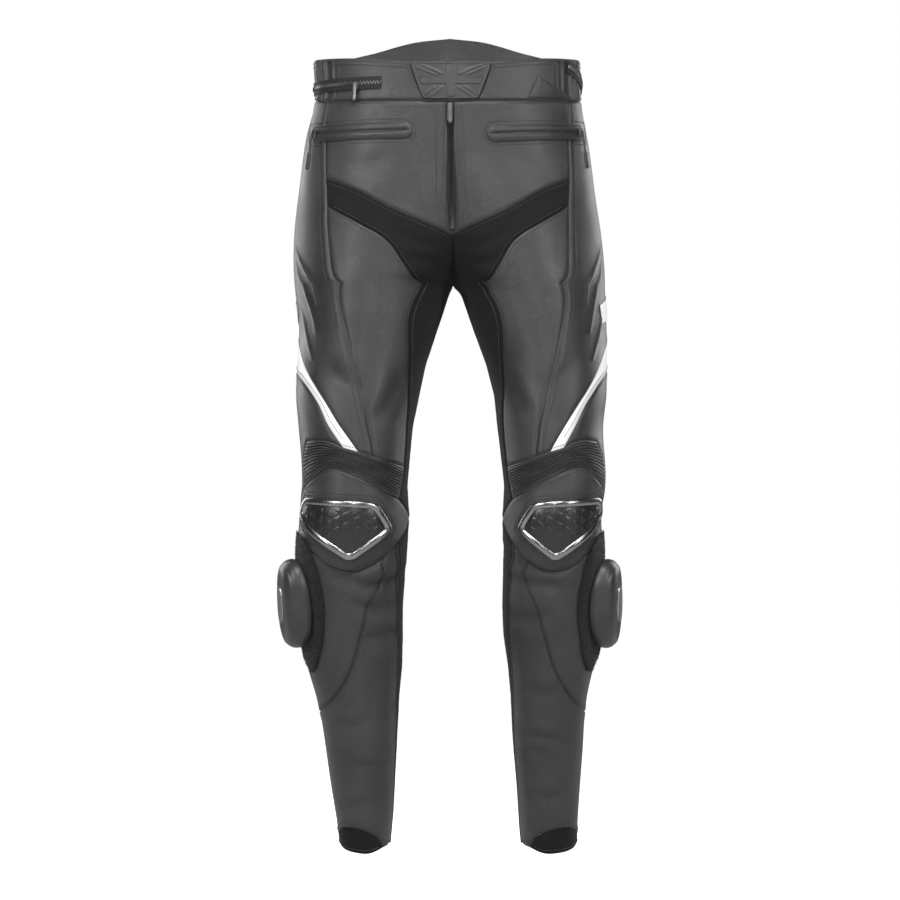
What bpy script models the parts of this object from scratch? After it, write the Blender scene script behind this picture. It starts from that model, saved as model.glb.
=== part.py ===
"""Leather riding trousers with knee sliders, empty, keeping the form of a worn pair.

The waist opening is at height 0, the front faces -Y and the wearer's right side is at -X.
Each half of the garment is a tube: a stack of ellipses whose outline comes from SECTIONS.
Above the crotch the two tubes are cut where they meet, in the plane between the legs.
A place on a tube is (t, z). t is 0 on the outer side, 1 on the inner line at the front and
-1 on the inner line at the back, measured across the width seen from the front.
Lengths in the tables are millimetres.
"""

import math

import bpy
import bmesh
import numpy as np
from mathutils import Matrix
from mathutils import Vector
from mathutils.geometry import delaunay_2d_cdt

MM = 0.001
COLLECTION_NAME = "riding_trousers"
CUTTER_COLLECTION_NAME = "riding_trousers_cutters"

# Main sizes
CROTCH_Z = -290.0
CENTRE_SHIFT = 4.0
CENTRE_SHIFT_TOP = -60.0
LEATHER = 1.6
STRETCH = 1.4
BAND = 2.6
HALF_GAP = 0.15
LAY_GAP = 0.7
SEAM_STEP = 26.0
GRID_STEP = 29.0
FLAT_WIDTH = 210.0
SLIVER = 0.05

# Sections from waist to hem
# height, right outer, right inner, left outer, left inner, front, back
SECTIONS = (
    (60, 171, 0, 167, 0, -91, 95),
    (0, 177, 0, 169, 0, -94, 97),
    (-56, 176, 0, 171, 0, -98, 101),
    (-95, 187, 0, 177, 0, -99, 107),
    (-160, 197, 0, 186, 0, -100, 119),
    (-238, 207, 0, 195, 0, -101, 124),
    (-290, 206, 0, 198, 0, -103, 119),
    (-300, 205, 5, 198, 10, -103, 117),
    (-335, 201, 16, 199, 22, -105, 109),
    (-394, 202, 35, 199, 43, -110, 92),
    (-433, 203, 44, 199, 53, -114, 78),
    (-472, 200, 52, 194, 57, -119, 63),
    (-550, 194, 59, 196, 66, -129, 40),
    (-589, 197, 57, 190, 64, -131, 33),
    (-628, 200, 59, 192, 65, -126, 33),
    (-706, 198, 65, 190, 64, -100, 46),
    (-745, 196, 65, 191, 66, -84, 56),
    (-784, 189, 66, 183, 71, -70, 63),
    (-823, 178, 70, 175, 75, -58, 69),
    (-901, 165, 74, 169, 79, -36, 77),
    (-979, 154, 79, 164, 87, -14, 82),
    (-1040, 146, 85, 161, 92, -2, 83),
)

# How far each tube runs past the middle plane, as a share of its outer half width
# height, share
OVERLAPS = (
    (60, 1.0),
    (0, 1.0),
    (-56, 0.97),
    (-121, 0.80),
    (-190, 0.50),
    (-240, 0.24),
    (-270, 0.09),
    (-290, 0.0),
)

# Points where seams meet
# name, t, z
POINTS = (
    ("waist_front", 0.975, -62),
    ("waist_side", 0.10, -57),
    ("waist_rear", -0.12, -46),
    ("waist_back", -1.0, -12),
    ("vee_top", 0.18, -156),
    ("vee_low", 0.21, -192),
    ("vee_centre", 1.0, -231),
    ("crotch", 1.0, -290),
    ("ribs_side", 0.69, -513),
    ("ribs_inner_top", 0.96, -526),
    ("stripe_out", 0.41, -501),
    ("stripe_in", 0.54, -506),
    ("ribs_outer_top", 0.08, -493),
    ("ribs_outer_low", 0.02, -555),
    ("ribs_inner_low", 0.92, -566),
    ("knee_inner", 1.0, -592),
    ("knee_low_inner", 0.91, -623),
    ("knee_low", 0.79, -645),
    ("knee_outer", 0.0, -606),
    ("stripe_rear_top", -0.20, -322),
    ("stripe_rear_low", -0.22, -372),
    ("knee_back_outer", -0.25, -500),
    ("calf_outer", -0.25, -588),
    ("shin_outer", -0.25, -850),
    ("hem_outer", -0.25, -1014),
    ("toe_outer", -0.02, -1018),
    ("toe_inner", 0.88, -1022),
    ("hem_inner", 1.0, -1019),
    ("hem_back", 1.3, -1012),
    ("knee_back_inner", 1.25, -500),
    ("knee_back_mid", 1.25, -592),
    ("calf_inner", 1.28, -622),
)

# Seams between two of those points, with the places they pass through
# name, from, to, (t, z) between
SEAMS = (
    ("waist_a", "waist_front", "waist_side", ((0.55, -60),)),
    ("waist_b", "waist_side", "waist_rear", ((0.0, -51),)),
    ("waist_c", "waist_rear", "waist_back", ((-0.45, -29), (-0.75, -16))),
    ("fly", "waist_front", "vee_centre", ((0.975, -120), (0.972, -185), (0.99, -222))),
    ("front_rise", "vee_centre", "crotch", ((1.0, -262), (1.0, -282))),
    ("seat_rise", "waist_back", "crotch", ((-1.0, -110), (-1.0, -200), (-1.0, -270))),
    ("side_a", "waist_side", "vee_top", ((0.15, -108),)),
    ("side_b", "vee_top", "vee_low", ()),
    ("side_c", "vee_low", "ribs_side", ((0.24, -248), (0.30, -309), (0.41, -374), (0.56, -439))),
    ("vee_a", "vee_top", "vee_centre", ((0.40, -174), (0.65, -200), (0.85, -217))),
    ("vee_b", "vee_low", "ribs_inner_top",
     ((0.41, -215), (0.60, -239), (0.70, -268), (0.79, -335), (0.88, -400), (0.95, -475))),
    ("ribs_a", "ribs_outer_top", "stripe_out", ((0.26, -492),)),
    ("ribs_b", "stripe_out", "stripe_in", ()),
    ("ribs_c", "stripe_in", "ribs_side", ()),
    ("ribs_d", "ribs_side", "ribs_inner_top", ((0.82, -519),)),
    ("ribs_outer", "ribs_outer_top", "ribs_outer_low", ((0.02, -524),)),
    ("ribs_inner", "ribs_inner_top", "ribs_inner_low", ((0.955, -546),)),
    ("ribs_low", "ribs_outer_low", "ribs_inner_low",
     ((0.10, -542), (0.25, -527), (0.50, -536), (0.65, -545), (0.80, -557))),
    ("knee_a", "ribs_inner_low", "knee_inner", ()),
    ("knee_b", "knee_inner", "knee_low_inner", ()),
    ("knee_c", "knee_low_inner", "knee_low", ()),
    ("knee_d", "knee_low", "knee_outer", ((0.56, -659), (0.35, -654), (0.19, -639), (0.06, -622))),
    ("knee_e", "knee_outer", "ribs_outer_low", ((0.0, -580),)),
    ("stripe_a", "stripe_in", "stripe_rear_top",
     ((0.36, -469), (0.23, -437), (0.08, -400), (0.01, -371), (-0.07, -346))),
    ("stripe_b", "stripe_out", "stripe_rear_low",
     ((0.27, -470), (0.19, -443), (0.06, -415), (0.0, -402), (-0.09, -387))),
    ("rear_a", "waist_rear", "stripe_rear_top", ((-0.14, -120), (-0.16, -200), (-0.18, -270))),
    ("rear_b", "stripe_rear_top", "stripe_rear_low", ()),
    ("rear_c", "stripe_rear_low", "knee_back_outer", ((-0.24, -436),)),
    ("rear_d", "knee_back_outer", "calf_outer", ()),
    ("rear_e", "calf_outer", "shin_outer", ((-0.25, -720),)),
    ("rear_f", "shin_outer", "hem_outer", ((-0.25, -930),)),
    ("knee_side", "calf_outer", "knee_outer", ((-0.10, -600),)),
    ("calf_seam", "knee_low", "shin_outer",
     ((0.81, -667), (0.69, -698), (0.61, -737), (0.47, -786), (0.27, -817), (0.05, -838))),
    ("shin_inner", "knee_low_inner", "hem_inner",
     ((0.935, -665), (0.95, -751), (0.975, -855), (0.99, -940))),
    ("toe_edge", "toe_outer", "toe_inner", ((0.01, -1002), (0.10, -996), (0.57, -1000), (0.77, -1008))),
    ("hem_a", "hem_outer", "toe_outer", ()),
    ("hem_b", "toe_outer", "toe_inner", ((0.3, -1028), (0.6, -1029))),
    ("hem_c", "toe_inner", "hem_inner", ()),
    ("hem_d", "hem_inner", "hem_back", ()),
    ("hem_e", "hem_back", "hem_outer", ((1.5, -1010),)),
    ("inner_a", "crotch", "knee_back_inner", ((1.07, -318), (1.16, -365), (1.22, -430))),
    ("inner_b", "knee_back_inner", "knee_back_mid", ()),
    ("inner_c", "calf_inner", "hem_back", ((1.30, -720), (1.30, -860))),
    ("inner_low", "knee_back_mid", "knee_inner", ()),
    ("back_low", "knee_back_inner", "knee_back_outer", ((1.5, -496),)),
    ("calf_top", "calf_inner", "calf_outer", ((1.5, -614),)),
)

# Cloth pieces, each sewn along its seams
# name, material, wall, seams round it
PANELS = (
    ("front_hip", "leather", LEATHER, ("waist_a", "side_a", "vee_a", "fly")),
    ("side_panel", "smooth", LEATHER,
     ("waist_b", "rear_a", "stripe_a", "ribs_c", "side_c", "side_b", "side_a")),
    ("stretch_panel", "stretch", STRETCH,
     ("vee_a", "front_rise", "inner_a", "inner_b", "inner_low", "knee_a", "ribs_inner", "vee_b",
      "side_b")),
    ("front_thigh", "leather", LEATHER, ("vee_b", "ribs_d", "side_c")),
    ("white_stripe", "white", LEATHER, ("stripe_a", "rear_b", "stripe_b", "ribs_b")),
    ("side_lower", "smooth", LEATHER,
     ("stripe_b", "rear_c", "rear_d", "knee_side", "knee_e", "ribs_outer", "ribs_a")),
    ("rib_panel", "leather", LEATHER,
     ("ribs_a", "ribs_b", "ribs_c", "ribs_d", "ribs_inner", "ribs_low", "ribs_outer")),
    ("knee_panel", "leather", LEATHER, ("ribs_low", "knee_a", "knee_b", "knee_c", "knee_d", "knee_e")),
    ("shin_side", "leather", LEATHER, ("knee_side", "knee_d", "calf_seam", "rear_e")),
    ("shin_panel", "leather", LEATHER,
     ("shin_inner", "hem_c", "toe_edge", "hem_a", "rear_f", "calf_seam", "knee_c")),
    ("toe_patch", "stretch", STRETCH, ("toe_edge", "hem_b")),
    ("calf_stretch", "stretch", STRETCH,
     ("knee_b", "shin_inner", "hem_d", "inner_c", "calf_top", "rear_d", "back_low", "inner_b",
      "inner_low")),
    ("calf_panel", "leather", LEATHER, ("inner_c", "hem_e", "rear_f", "rear_e", "calf_top")),
    ("back_panel", "leather", LEATHER,
     ("waist_c", "seat_rise", "inner_a", "back_low", "rear_c", "rear_b", "rear_a")),
)

# Raised ribs on the side panels, from the outer side towards the front
# start t, start z, middle t, middle z, end t, end z
SIDE_RIBS = (
    (0.01, -232, 0.08, -272, 0.16, -321),
    (0.02, -254, 0.09, -311, 0.15, -357),
    (0.03, -318, 0.07, -355, 0.14, -391),
)
SIDE_RIB_HEIGHT = 1.8
SIDE_RIB_HALF = 3.5

KNEE_RIB_ROWS = 11
KNEE_RIB_COLUMNS = 8
KNEE_RIB_HEIGHT = 1.5

# Knee plate corners
# t, z
KNEE_PLATE = (
    (0.06, -564),
    (0.71, -570),
    (0.86, -605),
    (0.50, -645),
    (0.14, -611),
    (0.02, -586),
)
KNEE_FRAME_WIDTH = 8.5
KNEE_FRAME_HEIGHT = 3.4
KNEE_INSERT_HEIGHT = 2.6

# Loop patch outline on the outer side below the knee
# t, z
LOOP_PATCH = (
    (0.04, -612),
    (0.15, -632),
    (0.235, -676),
    (0.255, -720),
    (0.20, -760),
    (0.07, -790),
    (0.0, -768),
    (-0.10, -772),
    (-0.16, -740),
    (-0.17, -680),
    (-0.14, -636),
    (-0.04, -612),
)
LOOP_THICK = 1.4

# Slider block, seen from the outside: an oval with a flat outer face
PUCK_T = 0.012
PUCK_Z = -700.0
PUCK_HALF_WIDTH = 40.0
PUCK_HALF_HEIGHT = 57.0
PUCK_STATIONS = 24
# share of the outline, height above the cloth, share of flatness
PUCK_RINGS = (
    (1.00, 4.0, 0.0),
    (0.97, 11.0, 0.0),
    (0.86, 17.0, 0.3),
    (0.66, 20.5, 0.75),
    (0.48, 21.5, 1.0),
)
PUCK_LIFT = 3.7
PLATE_SHARE = 0.42
PLATE_THICK = 1.5

# Waistband upper edge
# t, z
BAND_TOP = (
    (-1.0, 43),
    (-0.75, 38),
    (-0.4, 20),
    (-0.12, 5),
    (0.05, 0),
    (0.35, -4),
    (0.7, -10),
    (1.0, -10),
)
BAND_ROWS = 4

# Belt tab, as shares of its half width and of its height
TAB_COLUMNS = (-1.0, -0.7, -0.4, -0.19, -0.15, 0.15, 0.19, 0.4, 0.7, 1.0)
TAB_ROWS = (0.0, 0.18, 0.36, 0.40, 0.60, 0.64, 0.82, 1.0)
TAB_MIDDLE = 1.0
TAB_TOP_HALF = 54.0
TAB_LOW_HALF = 36.0
TAB_TOP_Z = -11.5
TAB_LOW_Z = -59.5
TAB_THICK = 2.2
TAB_CROSS = 0.7

# Fly
FLY_TOP_Z = -61.0
FLY_LOW_Z = -226.0
FLY_TAPE = 1.2
FLY_DEPTH = 3.6
FLY_SLIDER_Z = -67.0
FLY_SLIDER = (7.4, 8.0, 3.2)
FLY_PULL_OUT = 3.1

# Connection zip round the back of the waistband
CONNECTION_START_T = 0.50
CONNECTION_Z = -36.0
CONNECTION_BACK_RISE = 38.0
CONNECTION_END_V = 0.25
CONNECTION_END_RISE = 62.0
CONNECTION_HALF = 8.0
CONNECTION_THICK = 1.4
CONNECTION_SLIDER = (-119.0, -40.0)
CONNECTION_FLAP = ((112, -27), (99, -54), (160, -54))
FLAP_STEP = 18.0

# Zip on the back of the lower leg
# t, z
CALF_ZIP = (
    (1.36, -690),
    (1.36, -850),
    (1.36, -1006),
)
CALF_ZIP_HALF = 8.0
CALF_ZIP_THICK = 1.4
CALF_LEAN = 0.06

SLIDER_SIZE = (7.5, 11.0, 3.0)
CORD_OUT = 1.6
TAB_OUT = 1.3
PULL_LEAN = 0.02

KNEE_CORNER = 9.0
KNEE_STEP = 15.0
KNEE_CROWN = 1.0
LOOP_STEP = 16.0
LOOP_GRID = 16.0
LOOP_GAP = 1.2

POCKET_STEP = 13.0
POCKET_SLIT = 0.9

# Front pocket welts, seen from the front: inner end, outer end and half height
# side, inner x, inner z, outer x, outer z
POCKETS = (
    (-1, -48, -98, -177, -98),
    (1, 47, -103, 170, -95),
)
POCKET_HALF = 10.5
POCKET_THICK = 1.8

# Lengths along a hanging pull, half width, half thickness
CORD_PULL = (
    (-0.6, 1.6, 1.0),
    (4.0, 1.8, 1.0),
    (24.0, 1.5, 1.0),
    (27.0, 3.0, 1.9),
    (45.0, 3.3, 2.0),
    (48.0, 2.2, 1.4),
)
TAB_PULL = (
    (-0.6, 2.4, 0.7),
    (3.0, 3.0, 0.7),
    (15.0, 3.4, 0.8),
    (19.0, 2.2, 0.8),
)

MATERIALS = {
    "leather": ((0.055, 0.054, 0.053, 1.0), 0.55, 0.0),
    "smooth": ((0.040, 0.039, 0.038, 1.0), 0.45, 0.0),
    "stretch": ((0.022, 0.022, 0.023, 1.0), 0.85, 0.0),
    "white": ((0.80, 0.80, 0.79, 1.0), 0.50, 0.0),
    "loop": ((0.030, 0.030, 0.031, 1.0), 0.95, 0.0),
    "metal": ((0.72, 0.72, 0.73, 1.0), 0.22, 1.0),
    "gloss": ((0.012, 0.012, 0.013, 1.0), 0.15, 0.0),
    "slider": ((0.085, 0.085, 0.087, 1.0), 0.42, 0.0),
    "tape": ((0.020, 0.020, 0.021, 1.0), 0.70, 0.0),
    "grip": ((0.030, 0.030, 0.030, 1.0), 0.60, 0.0),
}


def smooth_curve(places, keys, values):
    """A smooth curve through rows of rising keys, with each slope taken from its neighbours."""
    keys = np.asarray(keys, float)
    values = np.asarray(values, float)
    slopes = np.gradient(values, keys)
    places = np.clip(np.asarray(places, float), keys[0], keys[-1])
    index = np.clip(np.searchsorted(keys, places) - 1, 0, len(keys) - 2)
    width = keys[index + 1] - keys[index]
    s = (places - keys[index]) / width
    rise = values[index] * (1 + 2 * s) * (1 - s) ** 2 + values[index + 1] * s * s * (3 - 2 * s)
    lean = slopes[index] * s * (1 - s) ** 2 - slopes[index + 1] * s * s * (1 - s)
    return rise + lean * width


SECTION_ROWS = np.array(SECTIONS[::-1], float)
OVERLAP_ROWS = np.array(OVERLAPS[::-1], float)
FRONT_COLUMN = 5
BACK_COLUMN = 6


def section(side, z):
    """Outer and inner half widths, tube centre, half width, centre depth and half depth at z."""
    z = np.asarray(z, float)
    first = 1 if side < 0 else 3
    heights = SECTION_ROWS[:, 0]
    outer = smooth_curve(z, heights, SECTION_ROWS[:, first])
    inner = np.interp(z, heights, SECTION_ROWS[:, first + 1])
    share = np.interp(z, OVERLAP_ROWS[:, 0], OVERLAP_ROWS[:, 1])
    inner = np.where(z >= CROTCH_Z, -share * outer, inner)
    front = smooth_curve(z, heights, SECTION_ROWS[:, FRONT_COLUMN])
    back = smooth_curve(z, heights, SECTION_ROWS[:, BACK_COLUMN])
    centre = (outer + inner) / 2
    half = (outer - inner) / 2
    return outer, inner, centre, half, (front + back) / 2, (back - front) / 2


def last_angle(centre, half):
    """The angle at which a tube meets the plane between the legs."""
    return np.arccos(np.clip(-centre / half, -1.0, 1.0))


def angle_share(side, t, z):
    """Turn a place measured across the width into a share of the angle round the tube."""
    t = np.asarray(t, float)
    outer, inner, centre, half, _, _ = section(side, z)
    turned = np.where(t > 1.0, t - 2.0, t)
    x = outer - np.abs(turned) * (outer - np.maximum(inner, 0.0))
    angle = np.arccos(np.clip((x - centre) / half, -1.0, 1.0))
    share = np.sign(turned) * np.minimum(angle / last_angle(centre, half), 1.0)
    return np.where(t > 1.0, share + 2.0, share)


def tube_point(side, v, z):
    """The point of the outer face at a share v of the angle and a height z, in millimetres."""
    v = np.asarray(v, float)
    z = np.asarray(z, float)
    turned = np.where(v > 1.0 + 1e-9, v - 2.0, v)
    outer, inner, centre, half, depth, half_depth = section(side, z)
    angle = turned * last_angle(centre, half)
    shift = np.interp(z, (CROTCH_Z, CENTRE_SHIFT_TOP), (CENTRE_SHIFT, 0.0))
    x = shift + side * (centre + half * np.cos(angle))
    y = depth - half_depth * np.sin(angle)
    return np.stack(np.broadcast_arrays(x, y, z), axis=-1)


def tube_normal(side, v, z):
    """The outward normal of the outer face, from small steps round it and up it."""
    v = np.asarray(v, float)
    z = np.asarray(z, float)
    turned = np.where(v > 1.0 + 1e-9, v - 2.0, v)
    outer, inner, centre, half, depth, half_depth = section(side, z)
    angle = turned * last_angle(centre, half)
    round_it = np.stack((-side * half * np.sin(angle), -half_depth * np.cos(angle),
                         np.zeros_like(angle)), axis=-1)
    step = 6.0
    rise = []
    for height in (z + step, z - step):
        height = np.where((z < CROTCH_Z) & (height > CROTCH_Z), CROTCH_Z - 0.01, height)
        height = np.where((z >= CROTCH_Z) & (height < CROTCH_Z), CROTCH_Z, height)
        _, _, centre_2, half_2, depth_2, half_depth_2 = section(side, height)
        shift = np.interp(height, (CROTCH_Z, CENTRE_SHIFT_TOP), (CENTRE_SHIFT, 0.0))
        x = shift + side * (centre_2 + half_2 * np.cos(angle))
        y = depth_2 - half_depth_2 * np.sin(angle)
        rise.append(np.stack(np.broadcast_arrays(x, y, height), axis=-1))
    normal = side * np.cross(rise[0] - rise[1], round_it)
    return normal / np.linalg.norm(normal, axis=-1, keepdims=True)


def spread(points, count):
    """Shares of a polyline's length at count + 1 even places along it."""
    lengths = np.linalg.norm(np.diff(points, axis=0), axis=1)
    walked = np.concatenate(((0.0,), np.cumsum(lengths)))
    return np.interp(np.linspace(0, walked[-1], count + 1), walked, np.linspace(0, 1, len(points)))


def seam_line(side, start, finish, between):
    """A seam's places (v, z), evenly apart along the cloth."""
    rows = np.array((start,) + tuple(between) + (finish,), float)
    v = angle_share(side, rows[:, 0], rows[:, 1])
    if abs(v[-1] - v[0]) > 1.2:
        v[-1] += 2.0 * round((v[-2] - v[-1]) / 2.0)
    z = rows[:, 1]
    steps = np.hypot(np.diff(v) * FLAT_WIDTH, np.diff(z))
    keys = np.concatenate(((0.0,), np.cumsum(steps)))
    fine = np.linspace(0, keys[-1], 161)
    if len(rows) == 2:
        fine_v = np.interp(fine, keys, v)
        fine_z = np.interp(fine, keys, z)
    else:
        fine_v = smooth_curve(fine, keys, v)
        fine_z = smooth_curve(fine, keys, z)
    path = tube_point(side, fine_v, fine_z)
    length = np.linalg.norm(np.diff(path, axis=0), axis=1).sum()
    count = max(2, int(round(length / SEAM_STEP)))
    shares = spread(path, count)
    index = shares * (len(fine) - 1)
    grid = np.arange(len(fine))
    return np.stack((np.interp(index, grid, fine_v), np.interp(index, grid, fine_z)), axis=1)


def seam_table(side):
    """Every seam of one side by name."""
    places = {name: (t, z) for name, t, z in POINTS}
    lines = {}
    for name, start, finish, between in SEAMS:
        first = places[start]
        last = places[finish]
        if name == "seat_rise":
            last = (-1.0, last[1])
        if name in ("back_low", "calf_top", "hem_e"):
            last = (last[0] + 2.0, last[1])
        lines[name] = seam_line(side, first, last, between)
    return lines


def chained(lines, names):
    """One closed outline (v, z) out of a panel's seams, turned so that each meets the next."""
    def near(a, b):
        turn = 2.0 * round((a[0] - b[0]) / 2.0)
        return abs(a[0] - b[0] - turn) < 1e-6 and abs(a[1] - b[1]) < 1e-6

    first = lines[names[0]]
    second = lines[names[1]]
    if not (near(first[-1], second[0]) or near(first[-1], second[-1])):
        first = first[::-1]
    outline = [first]
    for name in names[1:]:
        line = lines[name]
        end = outline[-1][-1]
        if near(end, line[0]) and not (name == names[-1] and len(names) == 2 and near(end, line[-1])):
            nxt = line
        else:
            nxt = line[::-1]
        turn = 2.0 * round((end[0] - nxt[0][0]) / 2.0)
        outline.append(nxt + np.array((turn, 0.0)))
    return np.concatenate([part[:-1] for part in outline])


def inside(outline, points):
    """Which points lie inside a closed outline, by counting the edges to one side of each."""
    a = outline
    b = np.roll(outline, -1, axis=0)
    x = points[:, None, 0]
    y = points[:, None, 1]
    crosses = (a[:, 1] > y) != (b[:, 1] > y)
    rise = np.where(b[:, 1] == a[:, 1], 1e-12, b[:, 1] - a[:, 1])
    at = a[:, 0] + (y - a[:, 1]) * (b[:, 0] - a[:, 0]) / rise
    return (crosses & (x < at)).sum(axis=1) % 2 == 1


def edge_distance(outline, points):
    """The distance from each point to a closed outline."""
    a = outline
    b = np.roll(outline, -1, axis=0)
    run = b - a
    to = points[:, None, :] - a[None]
    share = np.clip((to * run).sum(-1) / np.maximum((run * run).sum(-1), 1e-9), 0, 1)
    return np.linalg.norm(to - share[..., None] * run, axis=-1).min(axis=1)


def triangles_in(outline, extra, lines):
    """Triangles that fill a closed flat outline and use the extra points and lines."""
    count = len(outline)
    points = [Vector((float(p[0]), float(p[1]))) for p in np.concatenate((outline, extra))]
    edges = [(i, (i + 1) % count) for i in range(count)]
    for line in lines:
        edges.extend((count + a, count + b) for a, b in zip(line[:-1], line[1:]))
    made = delaunay_2d_cdt(points, edges, [], 0, 1e-5)
    where = [source[0] for source in made[3]]
    faces = np.array([[where[i] for i in face] for face in made[2]])
    corners = np.concatenate((outline, extra))[faces]
    run = corners[:, 1] - corners[:, 0]
    rise = corners[:, 2] - corners[:, 0]
    area = np.abs(run[:, 0] * rise[:, 1] - run[:, 1] * rise[:, 0]) / 2
    return faces[inside(outline, corners.mean(axis=1)) & (area > SLIVER)]


def inward(points, normals, amount):
    """Move a closed line of points in from the edge that it makes, along the cloth."""
    after = np.roll(points, -1, axis=0) - points
    after = after / np.linalg.norm(after, axis=1, keepdims=True)
    before = np.roll(after, 1, axis=0)
    side_after = np.cross(normals, after)
    side_before = np.cross(normals, before)
    side_after /= np.linalg.norm(side_after, axis=1, keepdims=True)
    side_before /= np.linalg.norm(side_before, axis=1, keepdims=True)
    turn = 1.0 + (side_after * side_before).sum(axis=1, keepdims=True)
    return points + amount * (side_after + side_before) / np.maximum(turn, 0.12)


def material(name):
    """The material of one finish, made once."""
    found = bpy.data.materials.get(name)
    if found is not None:
        return found
    colour, rough, metal = MATERIALS[name]
    made = bpy.data.materials.new(name)
    made.use_nodes = True
    shader = made.node_tree.nodes["Principled BSDF"]
    shader.inputs["Base Color"].default_value = colour
    shader.inputs["Roughness"].default_value = rough
    shader.inputs["Metallic"].default_value = metal
    return made


def add_mesh(name, points, faces, finish):
    """One closed piece from points in millimetres, with its faces turned outwards."""
    mesh = bpy.data.meshes.new(name)
    mesh.from_pydata((np.asarray(points) * MM).tolist(), [], [tuple(int(i) for i in f) for f in faces])
    shape = bmesh.new()
    shape.from_mesh(mesh)
    bmesh.ops.triangulate(shape, faces=shape.faces[:])
    bmesh.ops.recalc_face_normals(shape, faces=shape.faces[:])
    if shape.calc_volume(signed=True) < 0:
        bmesh.ops.reverse_faces(shape, faces=shape.faces[:])
    shape.to_mesh(mesh)
    shape.free()
    own = material(finish).copy()
    own.name = name + "_" + finish
    mesh.materials.append(own)
    piece = bpy.data.objects.new(name, mesh)
    bpy.data.collections[COLLECTION_NAME].objects.link(piece)
    return piece


def wall(name, finish, outer, inner, faces, border):
    """A closed wall out of one set of triangles, its outer and inner points and its border."""
    count = len(outer)
    inner_faces = [tuple(count + i for i in face[::-1]) for face in faces]
    around = []
    for a, b in zip(border, np.roll(border, -1)):
        around.append((a, b, count + b, count + a))
    everything = [tuple(face) for face in faces] + inner_faces + around
    return add_mesh(name, np.concatenate((outer, inner)), everything, finish)


def side_name(side, name):
    """The full name of a piece of one side."""
    return ("right_" if side < 0 else "left_") + name


def flat(places):
    """Places (v, z) in a flat scale that is close to millimetres."""
    return places * np.array((FLAT_WIDTH, 1.0))


def grid_places(side, outline, step, edge_share):
    """Even places (v, z) inside an outline, in staggered rows."""
    low = outline.min(axis=0)
    high = outline.max(axis=0)
    rows = []
    heights = np.arange(low[1] + step * 0.5, high[1], step * 0.87)
    for number, height in enumerate(heights):
        _, _, centre, half, _, half_depth = section(side, height)
        length = float(last_angle(centre, half)) * (float(half) + float(half_depth)) / 2
        across = step / length
        start = low[0] + across * (0.25 + 0.5 * (number % 2))
        v = np.arange(start, high[0], across)
        rows.append(np.stack((v, np.full(len(v), height)), axis=1))
    places = np.concatenate(rows)
    places = places[inside(outline, places)]
    return places[edge_distance(flat(outline), flat(places)) > step * edge_share]


def raised_wall(side, name, finish, outline, extra, lines, lift, low, high, gap):
    """A wall over a closed outline (v, z): from low to high off the cloth face, lift on top."""
    area = flat(outline)
    turned = (area[:, 0] * np.roll(area[:, 1], -1) - np.roll(area[:, 0], -1) * area[:, 1]).sum()
    if turned * side > 0:
        outline = outline[::-1]
    count = len(outline)
    places = np.concatenate((outline, extra)) if len(extra) else outline
    faces = triangles_in(flat(outline), flat(places[count:]), lines)
    points = tube_point(side, places[:, 0], places[:, 1])
    normals = tube_normal(side, places[:, 0], places[:, 1])
    points[:count] = inward(points[:count], normals[:count], gap)
    total = np.full(len(places), float(high))
    total[count:] += lift
    outer = points + normals * total[:, None]
    inner = points + normals * low
    return wall(side_name(side, name), finish, outer, inner, faces, np.arange(count))


def rib_rows(side, top, low, outer_edge, inner_edge):
    """Places along the ribs over the knee, ridge and valley rows between the two long edges."""
    places = []
    lines = []
    shares = np.linspace(0, 1, KNEE_RIB_COLUMNS + 2)[1:-1]
    for row in range(1, KNEE_RIB_ROWS + 1):
        down = row / (KNEE_RIB_ROWS + 1)
        first = at_share(outer_edge, down)
        last = at_share(inner_edge, down)
        line = []
        for share in shares:
            upper = at_share(top, share)
            lower = at_share(low, share)
            place = upper * (1 - down) + lower * down
            straight = first * (1 - share) + last * share
            corner = (top[0] * (1 - share) + top[-1] * share) * (1 - down)
            corner = corner + (low[0] * (1 - share) + low[-1] * share) * down
            line.append(len(places))
            places.append(place + straight - corner)
        lines.append(line)
    return np.array(places), lines


def at_share(line, share):
    """The place at a share of a line's length."""
    steps = np.linalg.norm(np.diff(flat(line), axis=0), axis=1)
    walked = np.concatenate(((0.0,), np.cumsum(steps)))
    at = share * walked[-1]
    return np.array((np.interp(at, walked, line[:, 0]), np.interp(at, walked, line[:, 1])))


def side_rib_places(side):
    """Places along the raised ribs of a side panel: each has two feet and a ridge between."""
    places = []
    lines = []
    lift = []
    for start_t, start_z, middle_t, middle_z, end_t, end_z in SIDE_RIBS:
        t = np.array((start_t, middle_t, end_t))
        z = np.array((start_z, middle_z, end_z), float)
        v = angle_share(side, t, z)
        shares = np.linspace(0, 1, 5)
        centre = np.stack((smooth_curve(shares, (0, 0.5, 1), v), smooth_curve(shares, (0, 0.5, 1), z)),
                          axis=1)
        run = np.gradient(flat(centre), axis=0)
        across = np.stack((-run[:, 1], run[:, 0]), axis=1)
        across = across / np.linalg.norm(across, axis=1, keepdims=True) * SIDE_RIB_HALF
        across = across / np.array((FLAT_WIDTH, 1.0))
        for offset, height in ((-1, 0.0), (0, SIDE_RIB_HEIGHT), (1, 0.0)):
            first = len(places)
            places.extend(centre + offset * across)
            lift.extend([height if 0 < k < len(shares) - 1 else height * 0.4 for k in range(len(shares))])
            lines.append(list(range(first, first + len(shares))))
    return np.array(places), lines, np.array(lift)


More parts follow.
